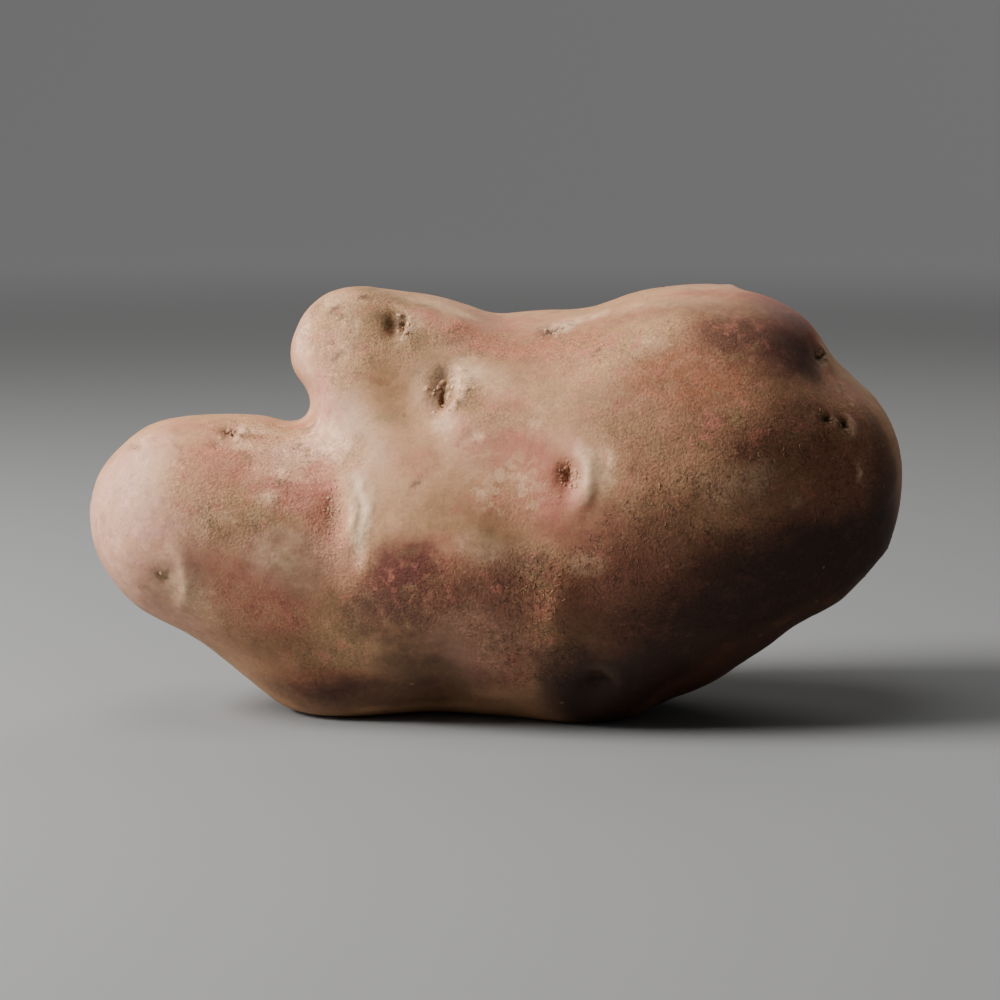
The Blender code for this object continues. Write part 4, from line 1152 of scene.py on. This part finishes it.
def scatter_tree(name, mark_name):
    """Small shapes laid on the skin where a mark says so, each turned, stretched and lumped its own way."""
    floats = "NodeSocketFloat"
    inputs = {
        "Shapes": ("NodeSocketCollection", None),
        "Material": ("NodeSocketMaterial", None),
        "Density": (floats, 1.0),
        "Sharpness": (floats, 1.0),
        "Smallest": (floats, 0.3),
        "Largest": (floats, 0.8),
        "Sink": (floats, 0.0),
        "Lumps": (floats, 0.05),
        "Tilt": (floats, 0.3),
        "Seed": ("NodeSocketInt", 1),
    }
    tree, given, out = geometry_group(name, inputs)
    amount = put(tree, "GeometryNodeInputNamedAttribute", {"Name": mark_name}, data_type="FLOAT").outputs[0]
    amount = calc(tree, "POWER", amount, given["Sharpness"])
    density = calc(tree, "MULTIPLY", amount, calc(tree, "MULTIPLY", given["Density"], 1.0e6))
    fill = {"Mesh": given["Geometry"], "Density": density, "Seed": given["Seed"]}
    points = put(tree, "GeometryNodeDistributePointsOnFaces", fill)
    shapes = put(
        tree,
        "GeometryNodeCollectionInfo",
        {"Collection": given["Shapes"], "Separate Children": True, "Reset Children": True},
    )
    fill = {2: given["Smallest"], 3: given["Largest"], "Seed": 3}
    size = put(tree, "FunctionNodeRandomValue", fill, data_type="FLOAT").outputs[1]
    size = calc(tree, "MULTIPLY", size, MM)
    stretch = put(
        tree,
        "FunctionNodeRandomValue",
        {0: (0.7, 0.7, 0.4), 1: (1.3, 1.3, 0.9), "Seed": 4},
        data_type="FLOAT_VECTOR",
    ).outputs[0]
    scale = put(tree, "ShaderNodeVectorMath", {0: stretch, "Scale": size}, operation="SCALE").outputs[0]
    tilt = put(
        tree,
        "FunctionNodeRandomValue",
        {0: (-1.0, -1.0, -math.pi), 1: (1.0, 1.0, math.pi), "Seed": 5},
        data_type="FLOAT_VECTOR",
    ).outputs[0]
    tilts = put(tree, "ShaderNodeCombineXYZ", {0: given["Tilt"], 1: given["Tilt"], 2: 1.0}).outputs[0]
    tilt = put(tree, "ShaderNodeVectorMath", {0: tilt, 1: tilts}, operation="MULTIPLY").outputs[0]
    tilt = put(tree, "FunctionNodeEulerToRotation", {0: tilt}).outputs[0]
    turn = put(
        tree, "FunctionNodeRotateRotation", {0: points.outputs["Rotation"], 1: tilt}, rotation_space="LOCAL"
    ).outputs[0]
    fill = {
        "Points": points.outputs["Points"],
        "Instance": shapes.outputs[0],
        "Pick Instance": True,
        "Rotation": turn,
        "Scale": scale,
    }
    laid = put(tree, "GeometryNodeInstanceOnPoints", fill)
    down = put(tree, "ShaderNodeCombineXYZ", {2: calc(tree, "MULTIPLY", given["Sink"], -1.0)}).outputs[0]
    sunk = put(
        tree,
        "GeometryNodeTranslateInstances",
        {"Instances": laid.outputs[0], "Translation": down, "Local Space": True},
    )
    real = put(tree, "GeometryNodeRealizeInstances", {0: sunk.outputs[0]})
    where = put(tree, "GeometryNodeInputPosition").outputs[0]
    fill = {"Vector": where, "Scale": 3200.0, "Detail": 1.0}
    lumps = put(tree, "ShaderNodeTexNoise", fill).outputs["Color"]
    fill = {0: lumps, 1: (0.5, 0.5, 0.5)}
    lumps = put(tree, "ShaderNodeVectorMath", fill, operation="SUBTRACT").outputs[0]
    push = calc(tree, "MULTIPLY", given["Lumps"], 2.0 * MM)
    lumps = put(tree, "ShaderNodeVectorMath", {0: lumps, "Scale": push}, operation="SCALE").outputs[0]
    moved = put(tree, "GeometryNodeSetPosition", {"Geometry": real.outputs[0], "Offset": lumps})
    fill = {"Geometry": moved.outputs[0], "Material": given["Material"]}
    dressed = put(tree, "GeometryNodeSetMaterial", fill)
    tree.links.new(dressed.outputs[0], out["Geometry"])
    return tree


def crumb_shapes():
    """Three small lumps, one unit across."""
    shapes = bpy.data.collections.new("crumb_shapes")
    chance = np.random.default_rng(5)
    for number in range(3):
        lump = bmesh.new()
        bmesh.ops.create_icosphere(lump, subdivisions=2, radius=0.5)
        for vert in lump.verts:
            vert.co *= chance.uniform(0.75, 1.2)
        mesh = bpy.data.meshes.new("crumb_%d" % number)
        lump.to_mesh(mesh)
        lump.free()
        shapes.objects.link(bpy.data.objects.new("crumb_%d" % number, mesh))
    return shapes


def flake_shapes():
    """Three thin curled slivers, one unit long, each lifted along one edge."""
    shapes = bpy.data.collections.new("flake_shapes")
    stations = 7
    slivers = ((0.16, 0.13, 0.10), (0.05, 0.20, 0.08), (0.24, 0.10, 0.12))
    for number, (bow, width, lift) in enumerate(slivers):
        points = []
        for station in range(stations):
            share = station / (stations - 1)
            along = share - 0.5
            swell = 0.12 + 0.88 * math.sin(math.pi * share) ** 0.8
            middle = bow * math.sin(math.pi * share)
            wide = width * swell
            high = lift * swell
            thick = 0.02 + 0.03 * swell
            points.append((along, middle - 0.5 * wide, -0.05))
            points.append((along, middle + 0.5 * wide, high - thick))
            points.append((along, middle + 0.5 * wide + 0.02, high))
            points.append((along, middle - 0.5 * wide, 0.01 + thick))
        faces = [(3, 2, 1, 0)]
        for station in range(stations - 1):
            here = 4 * station
            for corner in range(4):
                after = (corner + 1) % 4
                faces.append((here + corner, here + after, here + 4 + after, here + 4 + corner))
        last = 4 * (stations - 1)
        faces.append((last, last + 1, last + 2, last + 3))
        mesh = bpy.data.meshes.new("flake_%d" % number)
        mesh.from_pydata(points, [], faces)
        tidy = bmesh.new()
        tidy.from_mesh(mesh)
        bmesh.ops.recalc_face_normals(tidy, faces=tidy.faces)
        tidy.to_mesh(mesh)
        tidy.free()
        shapes.objects.link(bpy.data.objects.new("flake_%d" % number, mesh))
    return shapes


def scatter(skin, name, tree, shapes, material, **sizes):
    """A piece of its own, made of the shapes that a scatter tree lays on the skin."""
    piece = bpy.data.objects.new(name, skin.data.copy())
    bpy.context.scene.collection.objects.link(piece)
    layer = piece.modifiers.new("scatter", "NODES")
    layer.node_group = tree
    set_inputs(layer, {"Shapes": shapes, "Material": material, **sizes})
    apply_modifiers(piece)
    keep_above_floor(piece.data)
    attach(piece, "root")


def dress_skin(skin, material):
    """Gives the skin its relief and its finish, and lets it stand for the potato."""
    relief = skin.modifiers.new("relief", "NODES")
    relief.node_group = relief_tree()
    apply_modifiers(skin)
    keep_above_floor(skin.data)
    skin.data.shade_smooth()
    skin.data.materials.clear()
    skin.data.materials.append(material)
    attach(skin, "root")
    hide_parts("potato")


set_camera()
make_floor()
light_studio()

grain = grain_group()
skin = fine_skin()
finish_eyes(skin)
tint_skin(skin)
dress_skin(skin, potato_skin(grain, crack_group(), pore_group()))

scatter(
    skin,
    "eye_crumbs",
    scatter_tree("crumb_scatter", "crumbs"),
    crumb_shapes(),
    loose_cork("cork_crumb", CORK, CORK_SHADE, grain),
    Density=5.0,
    Sharpness=2.0,
    Smallest=0.12,
    Largest=0.36,
    Sink=0.12,
    Lumps=0.07,
    Tilt=0.5,
    Seed=7,
)
scatter(
    skin,
    "skin_flakes",
    scatter_tree("flake_scatter", "flakes"),
    flake_shapes(),
    loose_cork("skin_flake", FLAKE, FLAKE_SHADE, grain),
    Density=2.3,
    Sharpness=2.8,
    Smallest=0.25,
    Largest=1.0,
    Sink=0.0,
    Lumps=0.06,
    Tilt=0.15,
    Seed=9,
)
